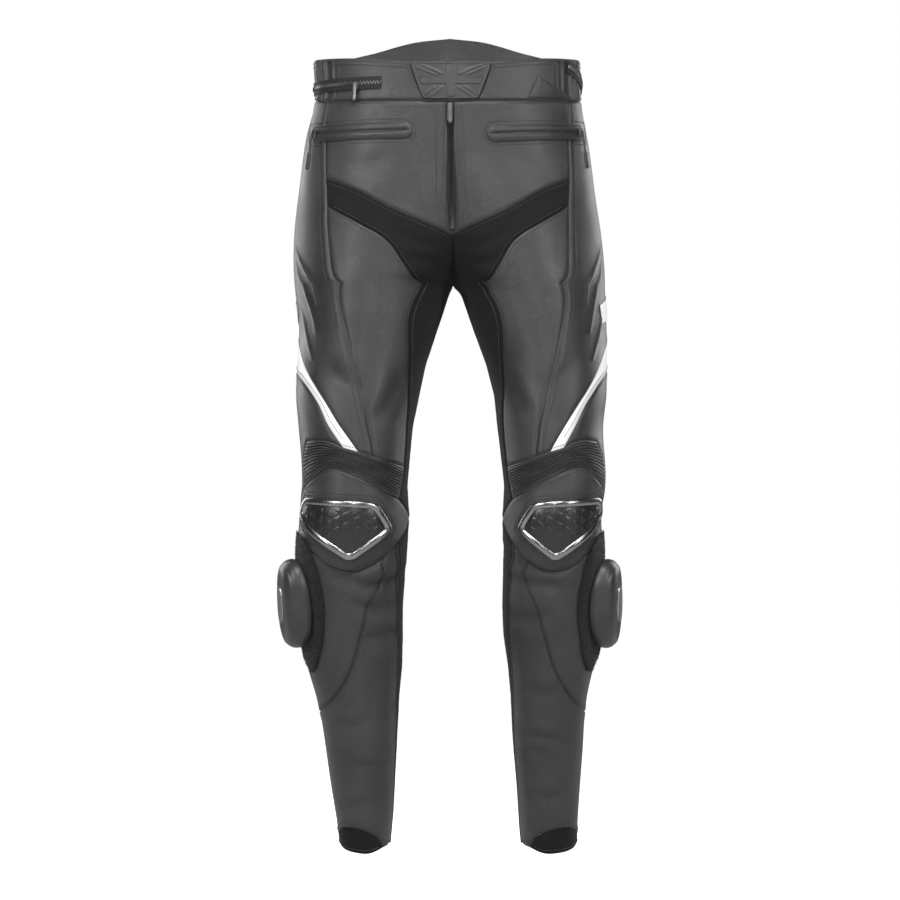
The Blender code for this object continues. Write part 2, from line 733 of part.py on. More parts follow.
def add_panels(side, lines):
    """All cloth panels of one side."""
    for name, finish, thick, names in PANELS:
        outline = chained(lines, names)
        if name == "rib_panel":
            top = np.concatenate((lines["ribs_a"][:-1], lines["ribs_b"][:-1], lines["ribs_c"][:-1],
                                  lines["ribs_d"]))
            extra, rows = rib_rows(side, top, lines["ribs_low"], lines["ribs_outer"],
                                   lines["ribs_inner"])
            lift = np.zeros(len(extra))
            for number, row in enumerate(rows):
                if number % 2 == 0:
                    lift[row] = KNEE_RIB_HEIGHT
            raised_wall(side, name, finish, outline, extra, rows, lift, -thick, 0.0, HALF_GAP)
            continue
        extra = grid_places(side, outline, GRID_STEP, 0.5)
        rows = []
        lift = np.zeros(len(extra))
        if name == "side_panel":
            ribs, rows, rib_lift = side_rib_places(side)
            away = np.linalg.norm(flat(extra)[:, None] - flat(ribs)[None], axis=-1).min(axis=1)
            extra = extra[away > GRID_STEP * 0.4]
            lift = np.concatenate((rib_lift, np.zeros(len(extra))))
            extra = np.concatenate((ribs, extra))
        raised_wall(side, name, finish, outline, extra, rows, lift, -thick, 0.0, HALF_GAP)


def surface_frame(side, t, z):
    """A point of the cloth face with its outward normal, the way up along it and across it."""
    v = angle_share(side, t, z)
    point = tube_point(side, v, z)
    normal = tube_normal(side, v, z)
    up = np.array((0.0, 0.0, 1.0)) - normal * normal[2]
    up = up / np.linalg.norm(up)
    return point, normal, up, np.cross(up, normal)


def side_share(x, z):
    """The side and the place t of a point that is seen from the front at x."""
    shift = float(np.interp(z, (CROTCH_Z, CENTRE_SHIFT_TOP), (CENTRE_SHIFT, 0.0)))
    side = -1 if x < shift else 1
    outer, inner = section(side, z)[:2]
    inner = max(float(inner), 0.0)
    return side, (float(outer) - side * (x - shift)) / (float(outer) - inner)


def smooth_loop(rows, step):
    """A closed smooth outline (v, z) through places (v, z), about evenly spaced."""
    rows = np.asarray(rows, float)
    before = np.roll(rows, 1, axis=0)
    after = np.roll(rows, -1, axis=0)
    beyond = np.roll(rows, -2, axis=0)
    s = np.linspace(0, 1, 16, endpoint=False)[None, :, None]
    a = rows[:, None]
    b = after[:, None]
    lean_a = (after - before)[:, None] / 2
    lean_b = (beyond - rows)[:, None] / 2
    fine = (a * (1 + 2 * s) * (1 - s) ** 2 + b * s * s * (3 - 2 * s)
            + lean_a * s * (1 - s) ** 2 - lean_b * s * s * (1 - s)).reshape(-1, 2)
    closed = np.concatenate((fine, fine[:1]))
    length = np.linalg.norm(np.diff(flat(closed), axis=0), axis=1).sum()
    count = int(round(length / step))
    index = spread(flat(closed), count)[:-1] * (len(closed) - 1)
    grid = np.arange(len(closed))
    return np.stack((np.interp(index, grid, closed[:, 0]), np.interp(index, grid, closed[:, 1])), axis=1)


def inset(outline, amount):
    """A closed outline (v, z) moved in by an amount."""
    points = np.concatenate((flat(outline), np.zeros((len(outline), 1))), axis=1)
    turned = (points[:, 0] * np.roll(points[:, 1], -1) - np.roll(points[:, 0], -1) * points[:, 1]).sum()
    up = np.zeros_like(points)
    up[:, 2] = 1.0 if turned > 0 else -1.0
    moved = inward(points, up, amount)
    return moved[:, :2] / np.array((FLAT_WIDTH, 1.0))


def lifted(side, places, height):
    """Points at a height off the cloth face over places (v, z)."""
    points = tube_point(side, places[:, 0], places[:, 1])
    return points + tube_normal(side, places[:, 0], places[:, 1]) * np.reshape(height, (-1, 1))


def grid_wall(name, finish, outer, inner):
    """A closed wall between two grids of points of the same size."""
    rows, columns = outer.shape[:2]
    index = np.arange(rows * columns).reshape(rows, columns)
    faces = []
    for r in range(rows - 1):
        for c in range(columns - 1):
            faces.append((index[r, c], index[r, c + 1], index[r + 1, c + 1], index[r + 1, c]))
    border = np.concatenate((index[0, :-1], index[:-1, -1], index[-1, :0:-1], index[:0:-1, 0]))
    return wall(name, finish, outer.reshape(-1, 3), inner.reshape(-1, 3), faces, border)


def ring_faces(rings, count):
    """Faces of a skin through closed rings of points, one after another."""
    faces = []
    for ring in range(rings - 1):
        for k in range(count):
            nxt = (k + 1) % count
            faces.append((ring * count + k, ring * count + nxt, (ring + 1) * count + nxt,
                          (ring + 1) * count + k))
    return faces


def waistband_columns():
    """Side, share of the angle and seam height of each column, from front to front round the back."""
    columns = []
    for side in (-1, 1):
        lines = seam_table(side)
        row = np.concatenate((lines["waist_a"][:-1], lines["waist_b"][:-1], lines["waist_c"]))
        part = [(side, v, z) for v, z in row]
        columns.extend(part if side < 0 else part[-2::-1])
    return columns


def band_top(v):
    """The height of the waistband's upper edge."""
    keys = np.array([float(angle_share(-1, t, 0.0)) for t, _ in BAND_TOP])
    return float(smooth_curve(v, keys, [z for _, z in BAND_TOP]))


def band_point(side, v, z, height):
    """A point off the waistband's outer face."""
    normal = tube_normal(side, v, z)
    if v < -0.999:
        normal[0] = 0.0
    return tube_point(side, v, z) + normal * height


def add_waistband():
    """The waistband, one strap from the fly round the back to the fly."""
    outer = []
    inner = []
    for side, v, low in waistband_columns():
        heights = np.linspace(low + HALF_GAP, band_top(v), BAND_ROWS)
        outer.append([band_point(side, v, z, 0.0) for z in heights])
        inner.append([band_point(side, v, z, -BAND) for z in heights])
    grid_wall("waistband", "leather", np.array(outer), np.array(inner))


def add_connection_zip():
    """Half of a long zip round the back of the waistband, and the flap at its left end."""
    outer = []
    inner = []
    first_v, first_z = angle_share(-1, CONNECTION_START_T, -35.0), CONNECTION_Z
    columns = [(-1, float(first_v), 0.0)]
    columns += [c for c in waistband_columns() if c[0] < 0 and c[1] < first_v - 0.04]
    columns += [c for c in waistband_columns() if c[0] > 0 and c[1] < CONNECTION_END_V]
    columns.append((1, CONNECTION_END_V + 0.05, 0.0))
    for side, v, _ in columns:
        turned = max(0.0, side * v + 0.1) if side > 0 else 0.0
        back = max(0.0, -v - 0.15) * CONNECTION_BACK_RISE
        middle = first_z + back + turned * CONNECTION_END_RISE
        heights = (middle - CONNECTION_HALF, middle, middle + CONNECTION_HALF)
        outer.append([band_point(side, v, z, LAY_GAP + CONNECTION_THICK) for z in heights])
        inner.append([band_point(side, v, z, LAY_GAP) for z in heights])
    grid_wall("connection_zip", "tape", np.array(outer), np.array(inner))
    corners = []
    for x, z in CONNECTION_FLAP:
        side, t = side_share(x, z)
        corners.append((float(angle_share(side, t, z)), z))
    outline = densify(np.array(corners), FLAP_STEP)
    raised_wall(1, "connection_flap", "leather", outline, np.zeros((0, 2)), [], 0.0, LAY_GAP,
                LAY_GAP + LEATHER, 0.0)


def densify(corners, step):
    """A closed outline with points no further apart than a step, its corners kept."""
    made = []
    for a, b in zip(corners, np.roll(corners, -1, axis=0)):
        count = max(1, int(math.ceil(np.linalg.norm(flat(b - a)) / step)))
        made.extend(a + (b - a) * k / count for k in range(count))
    return np.array(made)


def add_belt_tab():
    """The trapezoid tab that closes the waistband, with a raised flag cross."""
    outer = []
    inner = []
    for share in TAB_COLUMNS:
        column_outer = []
        column_inner = []
        for down in TAB_ROWS:
            half = TAB_TOP_HALF + (TAB_LOW_HALF - TAB_TOP_HALF) * down
            x = TAB_MIDDLE + share * half
            z = TAB_TOP_Z + (TAB_LOW_Z - TAB_TOP_Z) * down
            side, t = side_share(x, z)
            v = float(angle_share(side, t, z))
            raised = TAB_CROSS if abs(share) < 0.2 or abs(down - 0.5) < 0.15 else 0.0
            edge = abs(share) > 0.99 or down < 0.01 or down > 0.99
            column_outer.append(band_point(side, v, z, LAY_GAP + TAB_THICK + (0.0 if edge else raised)))
            column_inner.append(band_point(side, v, z, LAY_GAP))
        outer.append(column_outer)
        inner.append(column_inner)
    grid_wall("belt_tab", "leather", np.array(outer), np.array(inner))


def add_fly():
    """The fly zip's tape behind the slit, its slider in the slit and the pull hanging on it."""
    outer = []
    inner = []
    for z in np.linspace(FLY_TOP_Z, FLY_LOW_Z, 8):
        row_outer = []
        row_inner = []
        for x in (-11.0, -4.0, 4.0, 11.0):
            shift = float(np.interp(z, (CROTCH_Z, CENTRE_SHIFT_TOP), (CENTRE_SHIFT, 0.0)))
            side, t = side_share(x + shift, z)
            v = float(angle_share(side, t, z))
            row_outer.append(band_point(side, v, z, -FLY_DEPTH))
            row_inner.append(band_point(side, v, z, -FLY_DEPTH - FLY_TAPE))
        outer.append(row_outer)
        inner.append(row_inner)
    grid_wall("fly_zip", "tape", np.array(outer), np.array(inner))
    _, _, centre, half, depth, half_depth = section(-1, FLY_SLIDER_Z)
    front = float(depth - half_depth * np.sin(last_angle(centre, half)))
    middle = np.array((0.0, front - 0.2, FLY_SLIDER_Z))
    block("fly_slider", "metal", middle, np.eye(3)[:, (0, 2, 1)] * (1, 1, -1), FLY_SLIDER)
    pivot = np.array((0.0, front - FLY_PULL_OUT, FLY_SLIDER_Z + 1.0))
    bar("fly_pull", "metal", pivot, (1, 0, 0), (0, 0, -1), (0, -1, 0), TAB_PULL, 1.25)


def block(name, finish, middle, axes, size):
    """A box with chamfered edges: axes are columns for its width, height and depth."""
    shape = bmesh.new()
    bmesh.ops.create_cube(shape, size=1.0)
    bmesh.ops.scale(shape, vec=size, verts=shape.verts[:])
    bmesh.ops.bevel(shape, geom=shape.edges[:], offset=min(size) * 0.22, segments=1, affect="EDGES")
    points = np.array([v.co[:] for v in shape.verts])
    faces = [[v.index for v in face.verts] for face in shape.faces]
    shape.free()
    return add_mesh(name, middle + points @ np.asarray(axes, float).T, faces, finish)


def bar(name, finish, pivot, across, along, out, rows, scale):
    """A pull with an eight-sided section that changes along it, starting at its hinge."""
    across, along, out = (np.asarray(d, float) for d in (across, along, out))
    corner = 0.55
    ring = ((1, -corner), (1, corner), (corner, 1), (-corner, 1), (-1, corner), (-1, -corner),
            (-corner, -1), (corner, -1))
    points = []
    for run, half, thick in rows:
        for a, b in ring:
            points.append(pivot + along * run * scale + across * half * a + out * thick * b)
    count = len(ring)
    faces = ring_faces(len(rows), count)
    faces.append(tuple(range(count)))
    faces.append(tuple((len(rows) - 1) * count + k for k in reversed(range(count))))
    return add_mesh(name, np.array(points), faces, finish)


def add_pocket(side, inner_x, inner_z, outer_x, outer_z):
    """A front pocket's welt with its slit, the slider at the outer end and the hanging pull."""
    run = np.array((outer_x - inner_x, outer_z - inner_z), float)
    length = np.linalg.norm(run)
    run /= length
    across = np.array((-run[1], run[0]))
    start = np.array((inner_x, inner_z), float)
    outline = []
    for k in range(5):
        angle = math.pi * k / 4
        outline.append(start + run * POCKET_HALF * (1 - math.sin(angle))
                       + across * POCKET_HALF * math.cos(angle))
    steps = int(length / POCKET_STEP)
    low = [start + run * s - across * POCKET_HALF for s in np.linspace(POCKET_HALF, length, steps)[1:]]
    high = [start + run * s + across * POCKET_HALF for s in np.linspace(length, POCKET_HALF, steps)[:-1]]
    outline = np.array(outline + low + high)
    middle = np.array([start + run * s for s in np.linspace(POCKET_HALF, length - 6.0, steps)])

    def placed(points):
        rows = []
        for x, z in points:
            _, t = side_share(x, z)
            rows.append((float(angle_share(side, t, z)), z))
        return np.array(rows)

    lift = np.full(len(middle), -POCKET_SLIT)
    raised_wall(side, "pocket_welt", "leather", placed(outline), placed(middle), [list(range(len(middle)))],
                lift, LAY_GAP, LAY_GAP + POCKET_THICK, 0.0)
    x, z = start + run * (length - 5.0)
    _, t = side_share(x, z)
    point, normal, up, across_3d = surface_frame(side, t, z)
    off = LAY_GAP + POCKET_THICK - 0.1
    axes = np.stack((across_3d, up, normal), axis=1)
    height = SLIDER_SIZE[2]
    block(side_name(side, "pocket_slider"), "metal", point + normal * (off + height / 2), axes, SLIDER_SIZE)
    pivot = point + normal * (off + height + CORD_OUT)
    down = hanging(normal, up, PULL_LEAN)
    bar(side_name(side, "pocket_pull"), "grip", pivot, across_3d, down, np.cross(across_3d, down),
        CORD_PULL, 1.0)


def hanging(normal, up, lean):
    """The way down along the cloth, leaning out by a share."""
    down = -up + normal * lean
    return down / np.linalg.norm(down)


def add_knee_plate(side):
    """The metal frame over the knee and the gloss plate in it."""
    corners = np.array(KNEE_PLATE, float)
    places = np.stack((angle_share(side, corners[:, 0], corners[:, 1]), corners[:, 1]), axis=1)
    rounded = []
    for before, at, after in zip(np.roll(places, 1, axis=0), places, np.roll(places, -1, axis=0)):
        for other, share in ((before, 1.0), (None, 0.0), (after, 1.0)):
            if other is None:
                rounded.append(at * 0.82 + (before + after) * 0.09)
            else:
                way = flat(other) - flat(at)
                step = min(KNEE_CORNER / np.linalg.norm(way), 0.4)
                rounded.append(at + (other - at) * step * share)
    outline = densify(np.array(rounded), KNEE_STEP)
    rings = []
    for amount, height in ((0.0, LAY_GAP), (0.0, LAY_GAP + KNEE_FRAME_HEIGHT * 0.55),
                           (1.8, LAY_GAP + KNEE_FRAME_HEIGHT),
                           (KNEE_FRAME_WIDTH - 1.8, LAY_GAP + KNEE_FRAME_HEIGHT),
                           (KNEE_FRAME_WIDTH, LAY_GAP + KNEE_FRAME_HEIGHT * 0.7),
                           (KNEE_FRAME_WIDTH, LAY_GAP)):
        rings.append(lifted(side, inset(outline, amount), height))
    count = len(outline)
    faces = ring_faces(len(rings), count)
    for k in range(count):
        nxt = (k + 1) % count
        last = (len(rings) - 1) * count
        faces.append((last + k, last + nxt, nxt, k))
    add_mesh(side_name(side, "knee_frame"), np.concatenate(rings), faces, "metal")
    plate = inset(outline, KNEE_FRAME_WIDTH + 0.4)
    extra = grid_places(side, plate, KNEE_STEP, 0.45)
    raised_wall(side, "knee_insert", "gloss", plate, extra, [], np.full(len(extra), KNEE_CROWN),
                LAY_GAP, LAY_GAP + KNEE_INSERT_HEIGHT, 0.0)


def add_loop_patch(side):
    """The fuzzy loop patch that the slider block holds on to."""
    rows = np.array(LOOP_PATCH, float)
    places = np.stack((angle_share(side, rows[:, 0], rows[:, 1]), rows[:, 1]), axis=1)
    outline = smooth_loop(places, LOOP_STEP)
    extra = grid_places(side, outline, LOOP_GRID, 0.5)
    raised_wall(side, "loop_patch", "loop", outline, extra, [], np.zeros(len(extra)), LOOP_GAP,
                LOOP_GAP + LOOP_THICK, 0.0)


def add_puck(side):
    """The moulded slider block on the outer side below the knee, and the flat plate on it."""
    middle_v = float(angle_share(side, PUCK_T, PUCK_Z))
    angles = np.linspace(0, 2 * math.pi, PUCK_STATIONS, endpoint=False)
    power = 2 / 2.5
    wide = np.sign(np.cos(angles)) * np.abs(np.cos(angles)) ** power * PUCK_HALF_WIDTH
    tall = np.sign(np.sin(angles)) * np.abs(np.sin(angles)) ** power * PUCK_HALF_HEIGHT
    wide = wide * (1.0 - 0.12 * tall / PUCK_HALF_HEIGHT)

    def ring(share):
        return np.stack((middle_v + wide * share / FLAT_WIDTH, PUCK_Z + tall * share), axis=1)

    centre = tube_point(side, middle_v, PUCK_Z)
    normal = tube_normal(side, middle_v, PUCK_Z)
    top = centre + normal * (PUCK_LIFT + PUCK_RINGS[-1][1])
    rings = [lifted(side, ring(0.5), PUCK_LIFT), lifted(side, ring(1.0), PUCK_LIFT)]
    for share, height, flatness in PUCK_RINGS:
        points = lifted(side, ring(share), PUCK_LIFT + height)
        off = (points - top) @ normal
        points = points - flatness * off[:, None] * normal
        rings.append(points)
    base = centre + normal * PUCK_LIFT
    points = np.concatenate([base[None]] + rings + [top[None]])
    count = PUCK_STATIONS
    faces = [tuple(i + 1 for i in face) for face in ring_faces(len(rings), count)]
    last = 1 + (len(rings) - 1) * count
    for k in range(count):
        nxt = (k + 1) % count
        faces.append((0, 1 + nxt, 1 + k))
        faces.append((last + k, last + nxt, len(points) - 1))
    add_mesh(side_name(side, "knee_slider"), points, faces, "slider")
    rim = lifted(side, ring(PLATE_SHARE), PUCK_LIFT)
    rim = rim - ((rim - top) @ normal)[:, None] * normal
    low = rim + normal * 0.3
    high = rim + normal * (0.3 + PLATE_THICK)
    faces = ring_faces(2, count)
    faces.append(tuple(range(count)))
    faces.append(tuple(count + k for k in reversed(range(count))))
    add_mesh(side_name(side, "slider_plate"), np.concatenate((low, high)), faces, "metal")
    return top + normal * (0.3 + PLATE_THICK), normal


def add_calf_zip(side):
    """The zip that opens the lower leg at the back, with its slider at the hem and its pull."""
    rows = np.array(CALF_ZIP, float)
    v = angle_share(side, rows[:, 0], rows[:, 1])
    heights = np.linspace(rows[0, 1], rows[-1, 1], 13)
    centre = np.interp(heights[::-1], rows[::-1, 1], v[::-1])[::-1]
    outer = []
    inner = []
    for height, middle in zip(heights, centre):
        _, _, _, half, _, half_depth = section(side, height)
        share = CALF_ZIP_HALF / (math.pi * float(half + half_depth) / 2)
        line = np.array([(middle + k * share, height) for k in (-1.0, 0.0, 1.0)])
        outer.append(lifted(side, line, LAY_GAP + CALF_ZIP_THICK))
        inner.append(lifted(side, line, LAY_GAP))
    grid_wall(side_name(side, "calf_zip"), "tape", np.array(outer), np.array(inner))
    height = rows[-1, 1] + 14.0
    turn = float(np.interp(height, heights[::-1], centre[::-1]))
    point = tube_point(side, turn, height)
    normal = tube_normal(side, turn, height)
    up = np.array((0.0, 0.0, 1.0)) - normal * normal[2]
    up = up / np.linalg.norm(up)
    across = np.cross(up, normal)
    off = LAY_GAP + CALF_ZIP_THICK + 0.4
    axes = np.stack((across, up, normal), axis=1)
    block(side_name(side, "calf_slider"), "metal", point + normal * (off + SLIDER_SIZE[2] / 2), axes,
          SLIDER_SIZE)
    pivot = point + normal * (off + SLIDER_SIZE[2] + TAB_OUT)
    down = hanging(normal, up, CALF_LEAN)
    bar(side_name(side, "calf_pull"), "metal", pivot, across, down, np.cross(across, down), TAB_PULL,
        0.85)


def add_connection_pull():
    """The slider at the right end of the connection zip and its pull."""
    x, z = CONNECTION_SLIDER
    side, t = side_share(x, z)
    point, normal, up, across = surface_frame(side, t, z)
    off = LAY_GAP + CONNECTION_THICK + 0.4
    axes = np.stack((across, up, normal), axis=1)
    block("connection_slider", "metal", point + normal * (off + SLIDER_SIZE[2] / 2), axes, SLIDER_SIZE)
    pivot = point + normal * (off + SLIDER_SIZE[2] + TAB_OUT)
    down = hanging(normal, up, 0.03)
    bar("connection_pull", "metal", pivot, across, down, np.cross(across, down), TAB_PULL, 1.0)


def start_scene():
    """Empty the scene and make the collections."""
    for thing in list(bpy.data.objects):
        bpy.data.objects.remove(thing, do_unlink=True)
    for label in (COLLECTION_NAME, CUTTER_COLLECTION_NAME):
        bpy.context.scene.collection.children.link(bpy.data.collections.new(label))


def main():
    start_scene()
    for side in (-1, 1):
        add_panels(side, seam_table(side))
        add_knee_plate(side)
        add_loop_patch(side)
        add_puck(side)
        add_calf_zip(side)
    for side, inner_x, inner_z, outer_x, outer_z in POCKETS:
        add_pocket(side, inner_x, inner_z, outer_x, outer_z)
    add_waistband()
    add_belt_tab()
    add_fly()
    add_connection_zip()
    add_connection_pull()


main()
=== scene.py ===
import math

import bmesh
import bpy
import numpy as np
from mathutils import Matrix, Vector
from mathutils.geometry import delaunay_2d_cdt


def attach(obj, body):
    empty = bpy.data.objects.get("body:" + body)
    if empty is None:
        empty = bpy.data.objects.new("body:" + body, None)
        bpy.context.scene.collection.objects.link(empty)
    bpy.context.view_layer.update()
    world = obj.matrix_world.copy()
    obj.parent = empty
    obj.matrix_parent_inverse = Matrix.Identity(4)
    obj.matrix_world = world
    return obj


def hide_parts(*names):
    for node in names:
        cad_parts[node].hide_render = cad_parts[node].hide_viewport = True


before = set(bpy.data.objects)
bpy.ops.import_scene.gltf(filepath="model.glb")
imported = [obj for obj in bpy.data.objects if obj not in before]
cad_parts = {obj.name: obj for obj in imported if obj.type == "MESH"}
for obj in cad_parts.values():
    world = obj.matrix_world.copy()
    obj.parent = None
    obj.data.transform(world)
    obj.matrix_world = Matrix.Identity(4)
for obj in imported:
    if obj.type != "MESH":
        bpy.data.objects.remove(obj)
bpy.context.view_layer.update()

# Leather riding trousers with knee sliders: fine panels, sewing, zips and finishes.
# A place on a half of the garment is (t, z): t is 0 on the outer side, 1 on the inner line at
# the front and -1 at the back, across the width seen from the front. Lengths are millimetres.

MM = 0.001
CROTCH_Z = -290.0
CENTRE_SHIFT = 4.0
CENTRE_SHIFT_TOP = -60.0
LEATHER = 1.6
STRETCH = 1.4
BAND = 2.6
HALF_GAP = 0.03
LAY_GAP = 0.7
SEAM_STEP = 6.0
GRID_STEP = 6.0
FLAT_WIDTH = 210.0
SLIVER = 0.05

# Sections from waist to hem
# height, right outer, right inner, left outer, left inner, front, back
SECTIONS = (
    (60, 171, 0, 167, 0, -91, 95),
    (0, 177, 0, 169, 0, -94, 97),
    (-56, 176, 0, 171, 0, -98, 101),
    (-95, 187, 0, 177, 0, -99, 107),
    (-160, 197, 0, 186, 0, -100, 119),
    (-238, 207, 0, 195, 0, -101, 124),
    (-290, 206, 0, 198, 0, -103, 119),
    (-300, 205, 5, 198, 10, -103, 117),
    (-335, 201, 16, 199, 22, -105, 109),
    (-394, 202, 35, 199, 43, -110, 92),
    (-433, 203, 44, 199, 53, -114, 78),
    (-472, 200, 52, 194, 57, -119, 63),
    (-550, 194, 59, 196, 66, -129, 40),
    (-589, 197, 57, 190, 64, -131, 33),
    (-628, 200, 59, 192, 65, -126, 33),
    (-706, 198, 65, 190, 64, -100, 46),
    (-745, 196, 65, 191, 66, -84, 56),
    (-784, 189, 66, 183, 71, -70, 63),
    (-823, 178, 70, 175, 75, -58, 69),
    (-901, 165, 74, 169, 79, -36, 77),
    (-979, 154, 79, 164, 87, -14, 82),
    (-1040, 146, 85, 161, 92, -2, 83),
)

# How far each tube runs past the middle plane, as a share of its outer half width
# height, share
OVERLAPS = (
    (60, 1.0),
    (0, 1.0),
    (-56, 0.97),
    (-121, 0.80),
    (-190, 0.50),
    (-240, 0.24),
    (-270, 0.09),
    (-290, 0.0),
)

# Points where seams meet
# name, t, z
POINTS = (
    ("waist_front", 0.975, -62),
    ("waist_side", 0.10, -57),
    ("waist_rear", -0.12, -46),
    ("waist_back", -1.0, -12),
    ("vee_top", 0.18, -156),
    ("vee_low", 0.21, -192),
    ("vee_centre", 1.0, -231),
    ("crotch", 1.0, -290),
    ("ribs_side", 0.69, -513),
    ("ribs_inner_top", 0.96, -526),
    ("stripe_out", 0.41, -501),
    ("stripe_in", 0.54, -506),
    ("ribs_outer_top", 0.08, -493),
    ("ribs_outer_low", 0.02, -555),
    ("ribs_inner_low", 0.92, -566),
    ("knee_inner", 1.0, -592),
    ("knee_low_inner", 0.91, -623),
    ("knee_low", 0.79, -645),
    ("knee_outer", 0.0, -606),
    ("stripe_rear_top", -0.20, -322),
    ("stripe_rear_low", -0.22, -372),
    ("knee_back_outer", -0.25, -500),
    ("calf_outer", -0.25, -588),
    ("shin_outer", -0.25, -850),
    ("hem_outer", -0.25, -1014),
    ("toe_outer", -0.02, -1018),
    ("toe_inner", 0.88, -1022),
    ("hem_inner", 1.0, -1019),
    ("hem_back", 1.3, -1012),
    ("knee_back_inner", 1.25, -500),
    ("knee_back_mid", 1.25, -592),
    ("calf_inner", 1.28, -622),
)

# Seams between two of those points, with the places they pass through
# name, from, to, (t, z) between
SEAMS = (
    ("waist_a", "waist_front", "waist_side", ((0.55, -60),)),
    ("waist_b", "waist_side", "waist_rear", ((0.0, -51),)),
    ("waist_c", "waist_rear", "waist_back", ((-0.45, -29), (-0.75, -16))),
    ("fly", "waist_front", "vee_centre", ((0.975, -120), (0.972, -185), (0.99, -222))),
    ("front_rise", "vee_centre", "crotch", ((1.0, -262), (1.0, -282))),
    ("seat_rise", "waist_back", "crotch", ((-1.0, -110), (-1.0, -200), (-1.0, -270))),
    ("side_a", "waist_side", "vee_top", ((0.15, -108),)),
    ("side_b", "vee_top", "vee_low", ()),
    ("side_c", "vee_low", "ribs_side", ((0.24, -248), (0.30, -309), (0.41, -374), (0.56, -439))),
    ("vee_a", "vee_top", "vee_centre", ((0.40, -174), (0.65, -200), (0.85, -217))),
    ("vee_b", "vee_low", "ribs_inner_top",
     ((0.41, -215), (0.60, -239), (0.70, -268), (0.79, -335), (0.88, -400), (0.95, -475))),
    ("ribs_a", "ribs_outer_top", "stripe_out", ((0.26, -492),)),
    ("ribs_b", "stripe_out", "stripe_in", ()),
    ("ribs_c", "stripe_in", "ribs_side", ()),
    ("ribs_d", "ribs_side", "ribs_inner_top", ((0.82, -519),)),
    ("ribs_outer", "ribs_outer_top", "ribs_outer_low", ((0.02, -524),)),
    ("ribs_inner", "ribs_inner_top", "ribs_inner_low", ((0.955, -546),)),
    ("ribs_low", "ribs_outer_low", "ribs_inner_low",
     ((0.10, -542), (0.25, -527), (0.50, -536), (0.65, -545), (0.80, -557))),
    ("knee_a", "ribs_inner_low", "knee_inner", ()),
    ("knee_b", "knee_inner", "knee_low_inner", ()),
    ("knee_c", "knee_low_inner", "knee_low", ()),
    ("knee_d", "knee_low", "knee_outer", ((0.56, -659), (0.35, -654), (0.19, -639), (0.06, -622))),
    ("knee_e", "knee_outer", "ribs_outer_low", ((0.0, -580),)),
    ("stripe_a", "stripe_in", "stripe_rear_top",
     ((0.36, -469), (0.23, -437), (0.08, -400), (0.01, -371), (-0.07, -346))),
    ("stripe_b", "stripe_out", "stripe_rear_low",
     ((0.27, -470), (0.19, -443), (0.06, -415), (0.0, -402), (-0.09, -387))),
    ("rear_a", "waist_rear", "stripe_rear_top", ((-0.14, -120), (-0.16, -200), (-0.18, -270))),
    ("rear_b", "stripe_rear_top", "stripe_rear_low", ()),
    ("rear_c", "stripe_rear_low", "knee_back_outer", ((-0.24, -436),)),
    ("rear_d", "knee_back_outer", "calf_outer", ()),
    ("rear_e", "calf_outer", "shin_outer", ((-0.25, -720),)),
    ("rear_f", "shin_outer", "hem_outer", ((-0.25, -930),)),
    ("knee_side", "calf_outer", "knee_outer", ((-0.10, -600),)),
    ("calf_seam", "knee_low", "shin_outer",
     ((0.81, -667), (0.69, -698), (0.61, -737), (0.47, -786), (0.27, -817), (0.05, -838))),
    ("shin_inner", "knee_low_inner", "hem_inner",
     ((0.935, -665), (0.95, -751), (0.975, -855), (0.99, -940))),
    ("toe_edge", "toe_outer", "toe_inner", ((0.01, -1002), (0.10, -996), (0.57, -1000), (0.77, -1008))),
    ("hem_a", "hem_outer", "toe_outer", ()),
    ("hem_b", "toe_outer", "toe_inner", ((0.3, -1028), (0.6, -1029))),
    ("hem_c", "toe_inner", "hem_inner", ()),
    ("hem_d", "hem_inner", "hem_back", ()),
    ("hem_e", "hem_back", "hem_outer", ((1.5, -1010),)),
    ("inner_a", "crotch", "knee_back_inner", ((1.07, -318), (1.16, -365), (1.22, -430))),
    ("inner_b", "knee_back_inner", "knee_back_mid", ()),
    ("inner_c", "calf_inner", "hem_back", ((1.30, -720), (1.30, -860))),
    ("inner_low", "knee_back_mid", "knee_inner", ()),
    ("back_low", "knee_back_inner", "knee_back_outer", ((1.5, -496),)),
    ("calf_top", "calf_inner", "calf_outer", ((1.5, -614),)),
)

